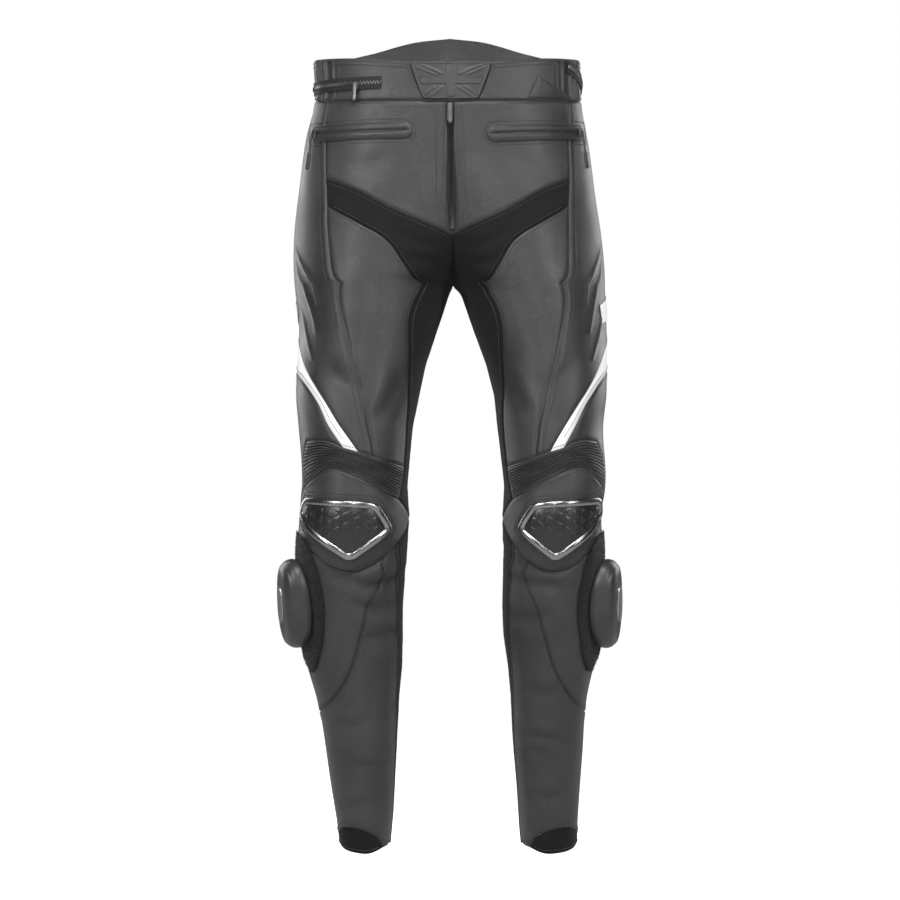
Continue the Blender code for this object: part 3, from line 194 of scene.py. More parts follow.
PANELS = (
    ("front_hip", "leather", LEATHER, ("waist_a", "side_a", "vee_a", "fly")),
    ("side_panel", "smooth", LEATHER,
     ("waist_b", "rear_a", "stripe_a", "ribs_c", "side_c", "side_b", "side_a")),
    ("stretch_panel", "stretch", STRETCH,
     ("vee_a", "front_rise", "inner_a", "inner_b", "inner_low", "knee_a", "ribs_inner", "vee_b",
      "side_b")),
    ("front_thigh", "leather", LEATHER, ("vee_b", "ribs_d", "side_c")),
    ("white_stripe", "white", LEATHER, ("stripe_a", "rear_b", "stripe_b", "ribs_b")),
    ("side_lower", "smooth", LEATHER,
     ("stripe_b", "rear_c", "rear_d", "knee_side", "knee_e", "ribs_outer", "ribs_a")),
    ("rib_panel", "leather", LEATHER,
     ("ribs_a", "ribs_b", "ribs_c", "ribs_d", "ribs_inner", "ribs_low", "ribs_outer")),
    ("knee_panel", "leather", LEATHER, ("ribs_low", "knee_a", "knee_b", "knee_c", "knee_d", "knee_e")),
    ("shin_side", "leather", LEATHER, ("knee_side", "knee_d", "calf_seam", "rear_e")),
    ("shin_panel", "leather", LEATHER,
     ("shin_inner", "hem_c", "toe_edge", "hem_a", "rear_f", "calf_seam", "knee_c")),
    ("toe_patch", "stretch", STRETCH, ("toe_edge", "hem_b")),
    ("calf_stretch", "stretch", STRETCH,
     ("knee_b", "shin_inner", "hem_d", "inner_c", "calf_top", "rear_d", "back_low", "inner_b",
      "inner_low")),
    ("calf_panel", "leather", LEATHER, ("inner_c", "hem_e", "rear_f", "rear_e", "calf_top")),
    ("back_panel", "leather", LEATHER,
     ("waist_c", "seat_rise", "inner_a", "back_low", "rear_c", "rear_b", "rear_a")),
)

# Raised ribs on the side panels, from the outer side towards the front
# start t, start z, middle t, middle z, end t, end z
SIDE_RIBS = (
    (0.01, -232, 0.08, -272, 0.16, -321),
    (0.02, -254, 0.09, -311, 0.15, -357),
    (0.03, -318, 0.07, -355, 0.14, -391),
)
SIDE_RIB_HEIGHT = 1.8
SIDE_RIB_SOFT = 2.1

# Knee plate corners
# t, z
KNEE_PLATE = (
    (0.06, -564),
    (0.71, -570),
    (0.86, -605),
    (0.50, -645),
    (0.14, -611),
    (0.02, -586),
)
KNEE_FRAME_WIDTH = 8.5
KNEE_INSERT_HEIGHT = 2.6

# Loop patch outline on the outer side below the knee
# t, z
LOOP_PATCH = (
    (0.04, -612),
    (0.15, -632),
    (0.235, -676),
    (0.255, -720),
    (0.20, -760),
    (0.07, -790),
    (0.0, -768),
    (-0.10, -772),
    (-0.16, -740),
    (-0.17, -680),
    (-0.14, -636),
    (-0.04, -612),
)
LOOP_THICK = 1.4

# Slider block, seen from the outside: an oval with a flat outer face
PUCK_T = 0.012
PUCK_Z = -700.0
PUCK_HALF_WIDTH = 40.0
PUCK_HALF_HEIGHT = 57.0
PUCK_STATIONS = 96
PUCK_POWER = 2.5
# share of the outline, height above the cloth, share of flatness
PUCK_RINGS = (
    (1.00, 4.0, 0.0),
    (0.97, 11.0, 0.0),
    (0.86, 17.0, 0.3),
    (0.66, 20.5, 0.75),
    (0.48, 21.5, 1.0),
)
PUCK_LIFT = 3.7

# Waistband upper edge
# t, z
BAND_TOP = (
    (-1.0, 43),
    (-0.75, 38),
    (-0.4, 20),
    (-0.12, 5),
    (0.05, 0),
    (0.35, -4),
    (0.7, -10),
    (1.0, -10),
)

BAND_COLUMNS = 250

# Belt tab
TAB_MIDDLE = 1.0
TAB_TOP_HALF = 54.0
TAB_LOW_HALF = 36.0
TAB_TOP_Z = -11.5
TAB_LOW_Z = -59.5
TAB_THICK = 2.2
FLAG_HALF_WIDTH = 45.0
FLAG_HALF_HEIGHT = 22.0

# Fly
FLY_TOP_Z = -61.0
FLY_LOW_Z = -226.0
FLY_TAPE = 1.2
FLY_DEPTH = 3.6
FLY_SLIDER_Z = -67.0
FLY_PULL_OUT = 3.1
FLY_PULL_SCALE = 1.25
FLY_HALF = 11.0
# Teeth of the fly: pitch, then length, half width and half height
FLY_TOOTH_PITCH = 2.4
FLY_TOOTH = (3.2, 0.75, 0.9)

# Connection zip round the back of the waistband
CONNECTION_START_T = 0.50
CONNECTION_Z = -36.0
CONNECTION_BACK_RISE = 38.0
CONNECTION_END_V = 0.25
CONNECTION_END_RISE = 62.0
CONNECTION_HALF = 8.0
CONNECTION_THICK = 1.4
CONNECTION_LEAN = 0.03
CONNECTION_SLIDER = (-119.0, -40.0)
CONNECTION_FLAP = ((112, -27), (99, -54), (160, -54))

# Zip on the back of the lower leg
# t, z
CALF_ZIP = (
    (1.36, -690),
    (1.36, -850),
    (1.36, -1006),
)
CALF_ZIP_HALF = 8.0
CALF_ZIP_THICK = 1.4
CALF_LEAN = 0.06
CALF_PULL_SCALE = 0.85

# How a pull stands off the cloth: its slider's height and lift, and the pivot's height on it
SLIDER_HEIGHT = 3.0
SLIDER_LIFT = 0.4
POCKET_SLIDER_LIFT = -0.1
CORD_OUT = 1.6
TAB_OUT = 1.3
PULL_LEAN = 0.02

KNEE_CORNER = 9.0
LOOP_GAP = 1.2

# Front pocket welts, seen from the front: inner end and outer end
# side, inner x, inner z, outer x, outer z
POCKETS = (
    (-1, -48, -98, -177, -98),
    (1, 47, -103, 170, -95),
)
POCKET_HALF = 10.5
POCKET_THICK = 1.8
POCKET_END_POINTS = 13
POCKET_ROWS = (-0.8, -0.6, -0.42, -0.26, -0.14, -0.05, 0.05, 0.14, 0.26, 0.42, 0.6, 0.8)

# Lengths along a hanging pull, half width, half thickness
CORD_PULL = (
    (-0.6, 1.6, 1.0),
    (4.0, 1.8, 1.0),
    (24.0, 1.5, 1.0),
    (27.0, 3.0, 1.9),
    (45.0, 3.3, 2.0),
    (48.0, 2.2, 1.4),
)
TAB_PULL = (
    (-0.6, 2.4, 0.7),
    (3.0, 3.0, 0.7),
    (15.0, 3.4, 0.8),
    (19.0, 2.2, 0.8),
)

# Soft creases of the cloth, seen from the front: a trough and the ridge that it pushes up
# face (1 front, -1 back), from x, z, through x, z, to x, z, depth, half width
CREASES = (
    (1, -58, -623, -124, -660, -168, -646, 2.6, 7.0),
    (1, -57, -659, -98, -675, -164, -662, 2.3, 6.5),
    (1, -60, -724, -82, -738, -112, -747, 1.8, 8.0),
    (1, -160, -388, -146, -411, -122, -434, 2.2, 13.0),
    (1, -70, -700, -104, -703, -128, -694, 1.5, 7.0),
    (1, -96, -846, -124, -858, -150, -852, 1.3, 8.0),
    (1, -82, -905, -104, -912, -132, -908, 1.1, 7.0),
    (1, -104, -958, -124, -966, -146, -962, 1.2, 7.0),
    (1, -60, -402, -74, -440, -96, -468, 1.4, 10.0),
    (1, -14, -246, -40, -240, -76, -222, 1.1, 6.0),
    (1, -16, -262, -34, -262, -58, -252, 1.3, 5.5),
    (1, -12, -280, -28, -290, -46, -294, 1.4, 6.0),
    (1, -70, -118, -96, -140, -130, -150, 1.1, 12.0),
    (1, 70, -662, 112, -674, 166, -676, 2.4, 6.5),
    (1, 62, -628, 118, -659, 172, -644, 2.3, 7.0),
    (1, 72, -708, 98, -716, 126, -712, 1.6, 7.5),
    (1, 90, -867, 120, -875, 150, -877, 1.8, 6.5),
    (1, 98, -888, 116, -893, 134, -891, 1.4, 6.0),
    (1, 104, -946, 126, -953, 148, -949, 1.2, 7.0),
    (1, 100, -806, 120, -816, 140, -812, 1.2, 8.0),
    (1, 158, -382, 148, -408, 128, -430, 1.9, 13.0),
    (1, 66, -398, 82, -436, 104, -464, 1.3, 10.0),
    (1, 22, -248, 48, -238, 82, -220, 1.0, 6.0),
    (1, 24, -264, 44, -264, 68, -252, 1.3, 5.5),
    (1, 20, -282, 38, -292, 58, -297, 1.3, 6.0),
    (1, 74, -120, 100, -142, 134, -150, 1.0, 12.0),
    (-1, -30, -286, -78, -306, -142, -296, 2.8, 11.0),
    (-1, -34, -318, -70, -334, -120, -338, 2.0, 9.0),
    (-1, -62, -470, -112, -482, -170, -474, 2.3, 8.0),
    (-1, -66, -512, -118, -524, -178, -514, 2.8, 8.5),
    (-1, -70, -548, -114, -556, -160, -552, 2.4, 7.5),
    (-1, -74, -580, -122, -592, -176, -588, 2.6, 8.0),
    (-1, -78, -668, -112, -680, -152, -676, 1.8, 9.0),
    (-1, -84, -742, -110, -750, -140, -746, 1.4, 9.0),
    (-1, -96, -884, -116, -892, -142, -888, 1.5, 7.5),
    (-1, -98, -940, -120, -950, -140, -944, 1.3, 7.0),
    (-1, -40, -190, -70, -230, -96, -262, 1.6, 14.0),
    (-1, 34, -290, 82, -308, 148, -300, 2.7, 11.0),
    (-1, 36, -324, 78, -338, 126, -340, 1.8, 9.0),
    (-1, 66, -476, 116, -486, 172, -480, 2.2, 8.0),
    (-1, 70, -516, 124, -530, 176, -520, 2.7, 8.5),
    (-1, 74, -556, 120, -562, 164, -556, 2.3, 7.5),
    (-1, 78, -588, 124, -598, 172, -590, 2.5, 8.0),
    (-1, 84, -676, 120, -686, 158, -680, 1.7, 9.0),
    (-1, 88, -734, 118, -744, 148, -738, 1.5, 9.0),
    (-1, 98, -892, 122, -900, 146, -894, 1.4, 7.5),
    (-1, 102, -950, 124, -956, 148, -952, 1.2, 7.0),
    (-1, 44, -196, 74, -236, 100, -268, 1.5, 14.0),
)

# Places that stay calm under hard pieces
# side, t, z, half width, half height
CALM = (
    (-1, 0.45, -598, 92, 50),
    (1, 0.45, -598, 92, 50),
    (-1, 0.02, -700, 74, 78),
    (1, 0.02, -700, 74, 78),
    (-1, 0.60, -98, 84, 16),
    (1, 0.60, -98, 84, 16),
)

# Seams that are sewn down, and how far the row of stitches lies to the left of each
# seam, distance
STITCHED = (
    ("side_a", -2.2), ("side_a", -8.8), ("side_b", -2.2), ("side_b", -8.8),
    ("side_c", -2.2), ("side_c", -8.8), ("vee_a", -4.0), ("vee_b", 4.0), ("vee_b", -2.4),
    ("stripe_a", -2.5), ("stripe_b", -6.0), ("stripe_b", 2.5), ("fly", -9.5),
    ("calf_seam", 2.2), ("calf_seam", -2.2), ("toe_edge", 4.5), ("shin_inner", -3.0),
    ("knee_d", -4.0), ("knee_c", -4.0), ("ribs_a", 3.6), ("ribs_b", 3.6), ("ribs_c", 3.6),
    ("ribs_d", 3.6), ("ribs_low", -4.0), ("rear_a", 3.0), ("rear_a", -3.0), ("rear_c", 3.0),
    ("rear_d", 3.0), ("rear_e", 3.0), ("rear_f", 3.0), ("rear_f", -3.0), ("seat_rise", 3.0),
    ("inner_a", 3.0), ("inner_c", 3.0), ("back_low", 3.0), ("back_low", -3.0), ("calf_top", -3.0),
    ("hem_a", 5.0), ("hem_b", 5.0), ("hem_c", 5.0), ("hem_d", 5.0), ("hem_e", 5.0),
    ("waist_a", -3.0), ("waist_b", -3.0), ("waist_c", -3.0),
)
STITCH_PITCH = 3.6
STITCH_LENGTH = 2.7
STITCH_HALF = 0.5
STITCH_HEIGHT = 0.65

# Teeth of the other zips: pitch, then length, half width and half height
TOOTH_PITCH = 2.3
TOOTH = (3.4, 0.8, 0.8)

# White wedge where the stripe comes round from the back
# t, z
WHITE_WEDGE = (
    (0.055, -318),
    (0.045, -341),
    (-0.01, -330),
    (-0.09, -300),
    (-0.15, -268),
    (-0.155, -238),
    (-0.10, -262),
    (-0.02, -296),
)
WEDGE_SHIFT = -0.045

# Points round a knee plate
KNEE_POINTS = 170
# How much deeper the creases are made than their table says
CREASE_GAIN = 1.55
# Ribs over the knee: number, depth, columns across and steps down each
RIB_COUNT = 12
RIB_DEPTH = 2.5
RIB_COLUMNS = 96
RIB_STEPS = 9
# Rows of points across a raised side rib, from its middle line
SIDE_RIB_ROWS = (-4.5, -2.6, -1.2, 0.0, 1.2, 2.6, 4.5)
# Rows of points beside a panel's edge
EDGE_ROWS = (1.4, 3.4, 6.4)
# Profile of the knee frames: distance in from the edge, height
KNEE_FRAME_PROFILE = (
    (0.0, 0.0), (-0.3, 1.2), (0.2, 2.6), (1.4, 3.5), (3.0, 3.9),
    (5.4, 3.8), (7.2, 3.2), (8.3, 2.2), (8.5, 1.0), (8.4, 0.0),
)
# Triangles on the knee plates: pitch, height of one kind and of the other
TRIANGLE_PITCH = 13.0
TRIANGLE_HIGH = 0.6
TRIANGLE_LOW = 0.1
# Yarn loops on a pile patch: number, length, half width
YARN_COUNT = 5200
YARN_LENGTH = 2.0
YARN_HALF = 0.16
PIPING_RADIUS = 1.25

# Finishes: name, slot, pattern, its settings, dark, light, roughness, bump in metres, more
FINISH_ROWS = (
    ("leather", "leather", "hide", {"Pebbles": 620.0},
     (0.014, 0.0138, 0.0135), (0.040, 0.0392, 0.038), 0.37, 0.00034, {"coat": 0.06}),
    ("smooth", "smooth_leather", "hide", {"Pebbles": 780.0},
     (0.010, 0.0099, 0.0098), (0.026, 0.0256, 0.025), 0.35, 0.00020, {"coat": 0.06}),
    ("white", "white_leather", "hide", {"Pebbles": 780.0},
     (0.72, 0.72, 0.71), (0.86, 0.86, 0.85), 0.42, 0.00010, {}),
    ("stretch", "stretch_fabric", "yarn", {"Yarns": 420.0},
     (0.0040, 0.0040, 0.0044), (0.011, 0.011, 0.0115), 0.88, 0.00025, {"sheen": 0.04, "shine": 0.22}),
    ("loop", "loop_fabric", "yarn", {"Yarns": 300.0},
     (0.008, 0.008, 0.008), (0.026, 0.026, 0.026), 0.92, 0.0004, {"sheen": 0.12, "shine": 0.25}),
    ("tape", "zip_tape", "yarn", {"Yarns": 700.0},
     (0.007, 0.007, 0.0075), (0.018, 0.018, 0.019), 0.7, 0.00015, {"sheen": 0.04, "shine": 0.3}),
    ("thread", "zip_tape", "yarn", {"Yarns": 1400.0},
     (0.016, 0.016, 0.016), (0.042, 0.042, 0.042), 0.55, 0.0001, {"sheen": 0.1}),
    ("metal", "metal", "hard", {"Grain": 700.0, "Draw": 0.2},
     (0.07, 0.07, 0.073), (0.18, 0.18, 0.185), 0.36, 0.00003, {"metal": 1.0}),
    ("chrome", "metal", "hard", {"Grain": 900.0, "Draw": 0.1},
     (0.20, 0.20, 0.205), (0.42, 0.42, 0.43), 0.27, 0.00002, {"metal": 1.0}),
    ("plate", "metal", "hard", {"Grain": 500.0, "Draw": 0.05},
     (0.45, 0.45, 0.46), (0.66, 0.66, 0.67), 0.34, 0.00003, {"metal": 1.0}),
    ("gloss", "gloss_plate", "hard", {"Grain": 400.0, "Draw": 1.0},
     (0.008, 0.008, 0.0085), (0.020, 0.020, 0.021), 0.36, 0.00002, {"coat": 0.1}),
    ("slider", "slider_plastic", "hard", {"Grain": 1100.0, "Draw": 1.0},
     (0.022, 0.022, 0.0225), (0.040, 0.040, 0.041), 0.42, 0.00006, {}),
    ("grip", "pull_grip", "hard", {"Grain": 1300.0, "Draw": 1.0},
     (0.014, 0.014, 0.014), (0.034, 0.034, 0.034), 0.55, 0.00006, {}),
)

# Solids that stay, with a finish of their own
KEPT_HARD = (
    ("metal", ("fly_slider", "connection_slider", "right_pocket_slider", "left_pocket_slider",
               "right_calf_slider", "left_calf_slider")),
    ("plate", ("right_slider_plate", "left_slider_plate")),
)

# Studio, in metres: camera, floor and how much light the white surround gives
CAMERA_PLACE = (0.0, -4.0, -0.504)
CAMERA_LENS = 123.08
CAMERA_SENSOR = 36.0
FLOOR_Z = -1.2
FLOOR_REACH = 6.0
FLOOR_TONE = 0.6
WORLD_GLOW = 0.045
# Soft lights: name, place, target, width and height, watts
LIGHTS = (
    ("key_left", (-2.2, -2.4, 0.9), (0.0, 0.0, -0.5), (0.8, 1.7), 66.0),
    ("key_right", (2.3, -2.2, 0.7), (0.0, 0.0, -0.5), (0.8, 1.7), 48.0),
    ("front_strip", (0.1, -3.7, 0.6), (0.0, 0.0, -0.5), (0.4, 1.2), 20.0),
    ("top_front", (0.0, -1.5, 1.7), (0.0, 0.0, -0.6), (1.4, 0.6), 62.0),
    ("back_left", (-1.9, 2.2, 0.3), (0.0, 0.0, -0.5), (1.0, 1.8), 26.0),
    ("back_right", (1.9, 2.2, 0.3), (0.0, 0.0, -0.5), (1.0, 1.8), 26.0),
)


def unit(vectors):
    """Vectors brought to length one."""
    return vectors / np.linalg.norm(vectors, axis=-1, keepdims=True)


def path_length(path):
    """The length of a line of points."""
    return float(np.linalg.norm(np.diff(path, axis=0), axis=1).sum())


def turning(rows):
    """Twice the area in a closed flat outline, above 0 where it runs anticlockwise."""
    return (rows[:, 0] * np.roll(rows[:, 1], -1) - np.roll(rows[:, 0], -1) * rows[:, 1]).sum()


def round_shape(stations, power):
    """A superellipse of half width and half height 1: |x|^power + |y|^power = 1."""
    angles = np.linspace(0, 2 * math.pi, stations, endpoint=False)
    c, s = np.cos(angles), np.sin(angles)
    return np.sign(c) * np.abs(c) ** (2 / power), np.sign(s) * np.abs(s) ** (2 / power)


def centre_shift(z):
    """How far the middle plane stands off x = 0 at a height, in millimetres."""
    return np.interp(z, (CROTCH_Z, CENTRE_SHIFT_TOP), (CENTRE_SHIFT, 0.0))


def smooth_curve(places, keys, values):
    """A smooth curve through rows of rising keys, with each slope taken from its neighbours."""
    keys = np.asarray(keys, float)
    values = np.asarray(values, float)
    slopes = np.gradient(values, keys)
    places = np.clip(np.asarray(places, float), keys[0], keys[-1])
    index = np.clip(np.searchsorted(keys, places) - 1, 0, len(keys) - 2)
    width = keys[index + 1] - keys[index]
    s = (places - keys[index]) / width
    rise = values[index] * (1 + 2 * s) * (1 - s) ** 2 + values[index + 1] * s * s * (3 - 2 * s)
    lean = slopes[index] * s * (1 - s) ** 2 - slopes[index + 1] * s * s * (1 - s)
    return rise + lean * width


SECTION_ROWS = np.array(SECTIONS[::-1], float)
OVERLAP_ROWS = np.array(OVERLAPS[::-1], float)
FRONT_COLUMN = 5
BACK_COLUMN = 6


def section(side, z):
    """Outer and inner half widths, tube centre, half width, centre depth and half depth at z."""
    z = np.asarray(z, float)
    first = 1 if side < 0 else 3
    heights = SECTION_ROWS[:, 0]
    outer = smooth_curve(z, heights, SECTION_ROWS[:, first])
    inner = np.interp(z, heights, SECTION_ROWS[:, first + 1])
    share = np.interp(z, OVERLAP_ROWS[:, 0], OVERLAP_ROWS[:, 1])
    inner = np.where(z >= CROTCH_Z, -share * outer, inner)
    front = smooth_curve(z, heights, SECTION_ROWS[:, FRONT_COLUMN])
    back = smooth_curve(z, heights, SECTION_ROWS[:, BACK_COLUMN])
    centre = (outer + inner) / 2
    half = (outer - inner) / 2
    return outer, inner, centre, half, (front + back) / 2, (back - front) / 2


def last_angle(centre, half):
    """The angle at which a tube meets the plane between the legs."""
    return np.arccos(np.clip(-centre / half, -1.0, 1.0))


def angle_share(side, t, z):
    """Turn a place measured across the width into a share of the angle round the tube."""
    t = np.asarray(t, float)
    outer, inner, centre, half, _, _ = section(side, z)
    turned = np.where(t > 1.0, t - 2.0, t)
    x = outer - np.abs(turned) * (outer - np.maximum(inner, 0.0))
    angle = np.arccos(np.clip((x - centre) / half, -1.0, 1.0))
    share = np.sign(turned) * np.minimum(angle / last_angle(centre, half), 1.0)
    return np.where(t > 1.0, share + 2.0, share)


def tube_point(side, v, z):
    """The point of the outer face at a share v of the angle and a height z, in millimetres."""
    v = np.asarray(v, float)
    z = np.asarray(z, float)
    turned = np.where(v > 1.0 + 1e-9, v - 2.0, v)
    outer, inner, centre, half, depth, half_depth = section(side, z)
    angle = turned * last_angle(centre, half)
    shift = centre_shift(z)
    x = shift + side * (centre + half * np.cos(angle))
    y = depth - half_depth * np.sin(angle)
    return np.stack(np.broadcast_arrays(x, y, z), axis=-1)


def tube_normal(side, v, z):
    """The outward normal of the outer face, from small steps round it and up it."""
    v = np.asarray(v, float)
    z = np.asarray(z, float)
    turned = np.where(v > 1.0 + 1e-9, v - 2.0, v)
    outer, inner, centre, half, depth, half_depth = section(side, z)
    angle = turned * last_angle(centre, half)
    round_it = np.stack((-side * half * np.sin(angle), -half_depth * np.cos(angle),
                         np.zeros_like(angle)), axis=-1)
    step = 6.0
    rise = []
    for height in (z + step, z - step):
        height = np.where((z < CROTCH_Z) & (height > CROTCH_Z), CROTCH_Z - 0.01, height)
        height = np.where((z >= CROTCH_Z) & (height < CROTCH_Z), CROTCH_Z, height)
        _, _, centre_2, half_2, depth_2, half_depth_2 = section(side, height)
        shift = centre_shift(height)
        x = shift + side * (centre_2 + half_2 * np.cos(angle))
        y = depth_2 - half_depth_2 * np.sin(angle)
        rise.append(np.stack(np.broadcast_arrays(x, y, height), axis=-1))
    normal = side * np.cross(rise[0] - rise[1], round_it)
    return unit(normal)


def evenly(rows, path, count):
    """The rows that belong to a path's points, read at count + 1 even places along the path."""
    lengths = np.linalg.norm(np.diff(path, axis=0), axis=1)
    walked = np.concatenate(((0.0,), np.cumsum(lengths)))
    shares = np.interp(np.linspace(0, walked[-1], count + 1), walked, np.linspace(0, 1, len(path)))
    grid = np.arange(len(path))
    index = shares * (len(path) - 1)
    return np.stack([np.interp(index, grid, rows[:, k]) for k in range(rows.shape[1])], axis=1)


def seam_line(side, start, finish, between):
    """A seam's places (v, z), evenly apart along the cloth."""
    rows = np.array((start,) + tuple(between) + (finish,), float)
    v = angle_share(side, rows[:, 0], rows[:, 1])
    if abs(v[-1] - v[0]) > 1.2:
        v[-1] += 2.0 * round((v[-2] - v[-1]) / 2.0)
    z = rows[:, 1]
    steps = np.hypot(np.diff(v) * FLAT_WIDTH, np.diff(z))
    keys = np.concatenate(((0.0,), np.cumsum(steps)))
    fine = np.linspace(0, keys[-1], 161)
    if len(rows) == 2:
        fine_v = np.interp(fine, keys, v)
        fine_z = np.interp(fine, keys, z)
    else:
        fine_v = smooth_curve(fine, keys, v)
        fine_z = smooth_curve(fine, keys, z)
    path = tube_point(side, fine_v, fine_z)
    count = max(2, int(round(path_length(path) / SEAM_STEP)))
    return evenly(np.stack((fine_v, fine_z), axis=1), path, count)


def seam_table(side):
    """Every seam of one side by name."""
    places = {name: (t, z) for name, t, z in POINTS}
    lines = {}
    for name, start, finish, between in SEAMS:
        first = places[start]
        last = places[finish]
        if name == "seat_rise":
            last = (-1.0, last[1])
        if name in ("back_low", "calf_top", "hem_e"):
            last = (last[0] + 2.0, last[1])
        lines[name] = seam_line(side, first, last, between)
    return lines


def chained(lines, names):
    """One closed outline (v, z) out of a panel's seams, turned so that each meets the next."""
    def near(a, b):
        turn = 2.0 * round((a[0] - b[0]) / 2.0)
        return abs(a[0] - b[0] - turn) < 1e-6 and abs(a[1] - b[1]) < 1e-6

    first = lines[names[0]]
    second = lines[names[1]]
    if not (near(first[-1], second[0]) or near(first[-1], second[-1])):
        first = first[::-1]
    outline = [first]
    for name in names[1:]:
        line = lines[name]
        end = outline[-1][-1]
        if near(end, line[0]) and not (name == names[-1] and len(names) == 2 and near(end, line[-1])):
            nxt = line
        else:
            nxt = line[::-1]
        turn = 2.0 * round((end[0] - nxt[0][0]) / 2.0)
        outline.append(nxt + np.array((turn, 0.0)))
    return np.concatenate([part[:-1] for part in outline])


def inside(outline, points):
    """Which points lie inside a closed outline, by counting the edges to one side of each."""
    a = outline
    b = np.roll(outline, -1, axis=0)
    x = points[:, None, 0]
    y = points[:, None, 1]
    crosses = (a[:, 1] > y) != (b[:, 1] > y)
    rise = np.where(b[:, 1] == a[:, 1], 1e-12, b[:, 1] - a[:, 1])
    at = a[:, 0] + (y - a[:, 1]) * (b[:, 0] - a[:, 0]) / rise
    return (crosses & (x < at)).sum(axis=1) % 2 == 1


def edge_distance(outline, points):
    """The distance from each point to a closed outline."""
    a = outline
    b = np.roll(outline, -1, axis=0)
    run = b - a
    to = points[:, None, :] - a[None]
    share = np.clip((to * run).sum(-1) / np.maximum((run * run).sum(-1), 1e-9), 0, 1)
    return np.linalg.norm(to - share[..., None] * run, axis=-1).min(axis=1)


def triangles_in(outline, extra):
    """Triangles that fill a closed flat outline and use the extra points."""
    count = len(outline)
    points = [Vector((float(p[0]), float(p[1]))) for p in np.concatenate((outline, extra))]
    edges = [(i, (i + 1) % count) for i in range(count)]
    made = delaunay_2d_cdt(points, edges, [], 0, 1e-5)
    where = [source[0] for source in made[3]]
    faces = np.array([[where[i] for i in face] for face in made[2]])
    corners = np.concatenate((outline, extra))[faces]
    run = corners[:, 1] - corners[:, 0]
    rise = corners[:, 2] - corners[:, 0]
    area = np.abs(run[:, 0] * rise[:, 1] - run[:, 1] * rise[:, 0]) / 2
    return faces[inside(outline, corners.mean(axis=1)) & (area > SLIVER)]


def inward(points, normals, amount):
    """Move a closed line of points in from the edge that it makes, along the cloth."""
    after = unit(np.roll(points, -1, axis=0) - points)
    side_after = unit(np.cross(normals, after))
    side_before = unit(np.cross(normals, np.roll(after, 1, axis=0)))
    turn = 1.0 + (side_after * side_before).sum(axis=1, keepdims=True)
    return points + amount * (side_after + side_before) / np.maximum(turn, 0.12)


def side_name(side, name):
    """The full name of a piece of one side."""
    return ("right_" if side < 0 else "left_") + name


def flat(places):
    """Places (v, z) in a flat scale that is close to millimetres."""
    return places * np.array((FLAT_WIDTH, 1.0))


def surface_frame(side, v, z):
    """A point of the cloth face with its outward normal, the way up along it and across it."""
    normal = tube_normal(side, v, z)
    up = unit(np.array((0.0, 0.0, 1.0)) - normal * normal[2])
    return tube_point(side, v, z), normal, up, np.cross(up, normal)


def side_share(x, z):
    """The side and the place t of a point that is seen from the front at x."""
    shift = float(centre_shift(z))
    side = -1 if x < shift else 1
    outer, inner = section(side, z)[:2]
    inner = max(float(inner), 0.0)
    return side, (float(outer) - side * (x - shift)) / (float(outer) - inner)


def smooth_loop(rows, step):
    """A closed smooth outline (v, z) through places (v, z), about evenly spaced."""
    rows = np.asarray(rows, float)
    before = np.roll(rows, 1, axis=0)
    after = np.roll(rows, -1, axis=0)
    beyond = np.roll(rows, -2, axis=0)
    s = np.linspace(0, 1, 16, endpoint=False)[None, :, None]
    a = rows[:, None]
    b = after[:, None]
    lean_a = (after - before)[:, None] / 2
    lean_b = (beyond - rows)[:, None] / 2
    fine = (a * (1 + 2 * s) * (1 - s) ** 2 + b * s * s * (3 - 2 * s)
            + lean_a * s * (1 - s) ** 2 - lean_b * s * s * (1 - s)).reshape(-1, 2)
    closed = np.concatenate((fine, fine[:1]))
    count = int(round(path_length(flat(closed)) / step))
    return evenly(closed, flat(closed), count)[:-1]


def inset(outline, amount):
    """A closed outline (v, z) moved in by an amount."""
    points = np.concatenate((flat(outline), np.zeros((len(outline), 1))), axis=1)
    up = np.zeros_like(points)
    up[:, 2] = 1.0 if turning(points) > 0 else -1.0
    moved = inward(points, up, amount)
    return moved[:, :2] / np.array((FLAT_WIDTH, 1.0))


def lifted(side, places, height):
    """Points at a height off the cloth face over places (v, z)."""
    points = tube_point(side, places[:, 0], places[:, 1])
    return points + tube_normal(side, places[:, 0], places[:, 1]) * np.reshape(height, (-1, 1))


def closed_wall(outer, inner, faces, border):
    """Points and triangles of a closed wall: outer skin, inner skin and the band between."""
    count = len(outer)
    after = np.roll(border, -1)
    band = np.concatenate((np.stack((border, after, count + after), axis=1),
                           np.stack((border, count + after, count + border), axis=1)))
    return np.concatenate((outer, inner)), np.concatenate((faces, count + faces[:, ::-1], band))


def grid_faces(rows, columns):
    """Triangles of a grid and the indices round its edge."""
    index = np.arange(rows * columns).reshape(rows, columns)
    a, b, c, d = (part.ravel() for part in
                  (index[:-1, :-1], index[:-1, 1:], index[1:, 1:], index[1:, :-1]))
    faces = np.concatenate((np.stack((a, b, c), axis=1), np.stack((a, c, d), axis=1)))
    border = np.concatenate((index[0, :-1], index[:-1, -1], index[-1, :0:-1], index[:0:-1, 0]))
    return faces, border


def grid_shell(outer, inner):
    """Points and triangles of a closed wall between two grids of the same size."""
    faces, border = grid_faces(*outer.shape[:2])
    return closed_wall(outer.reshape(-1, 3), inner.reshape(-1, 3), faces, border)


def ring_triangles(rings, count):
    """Triangles of a skin through closed rings of points, one after another."""
    ring, k = np.divmod(np.arange((rings - 1) * count), count)
    a = ring * count + k
    b = ring * count + (k + 1) % count
    return np.concatenate((np.stack((a, b, b + count), axis=1),
                           np.stack((a, b + count, a + count), axis=1)))


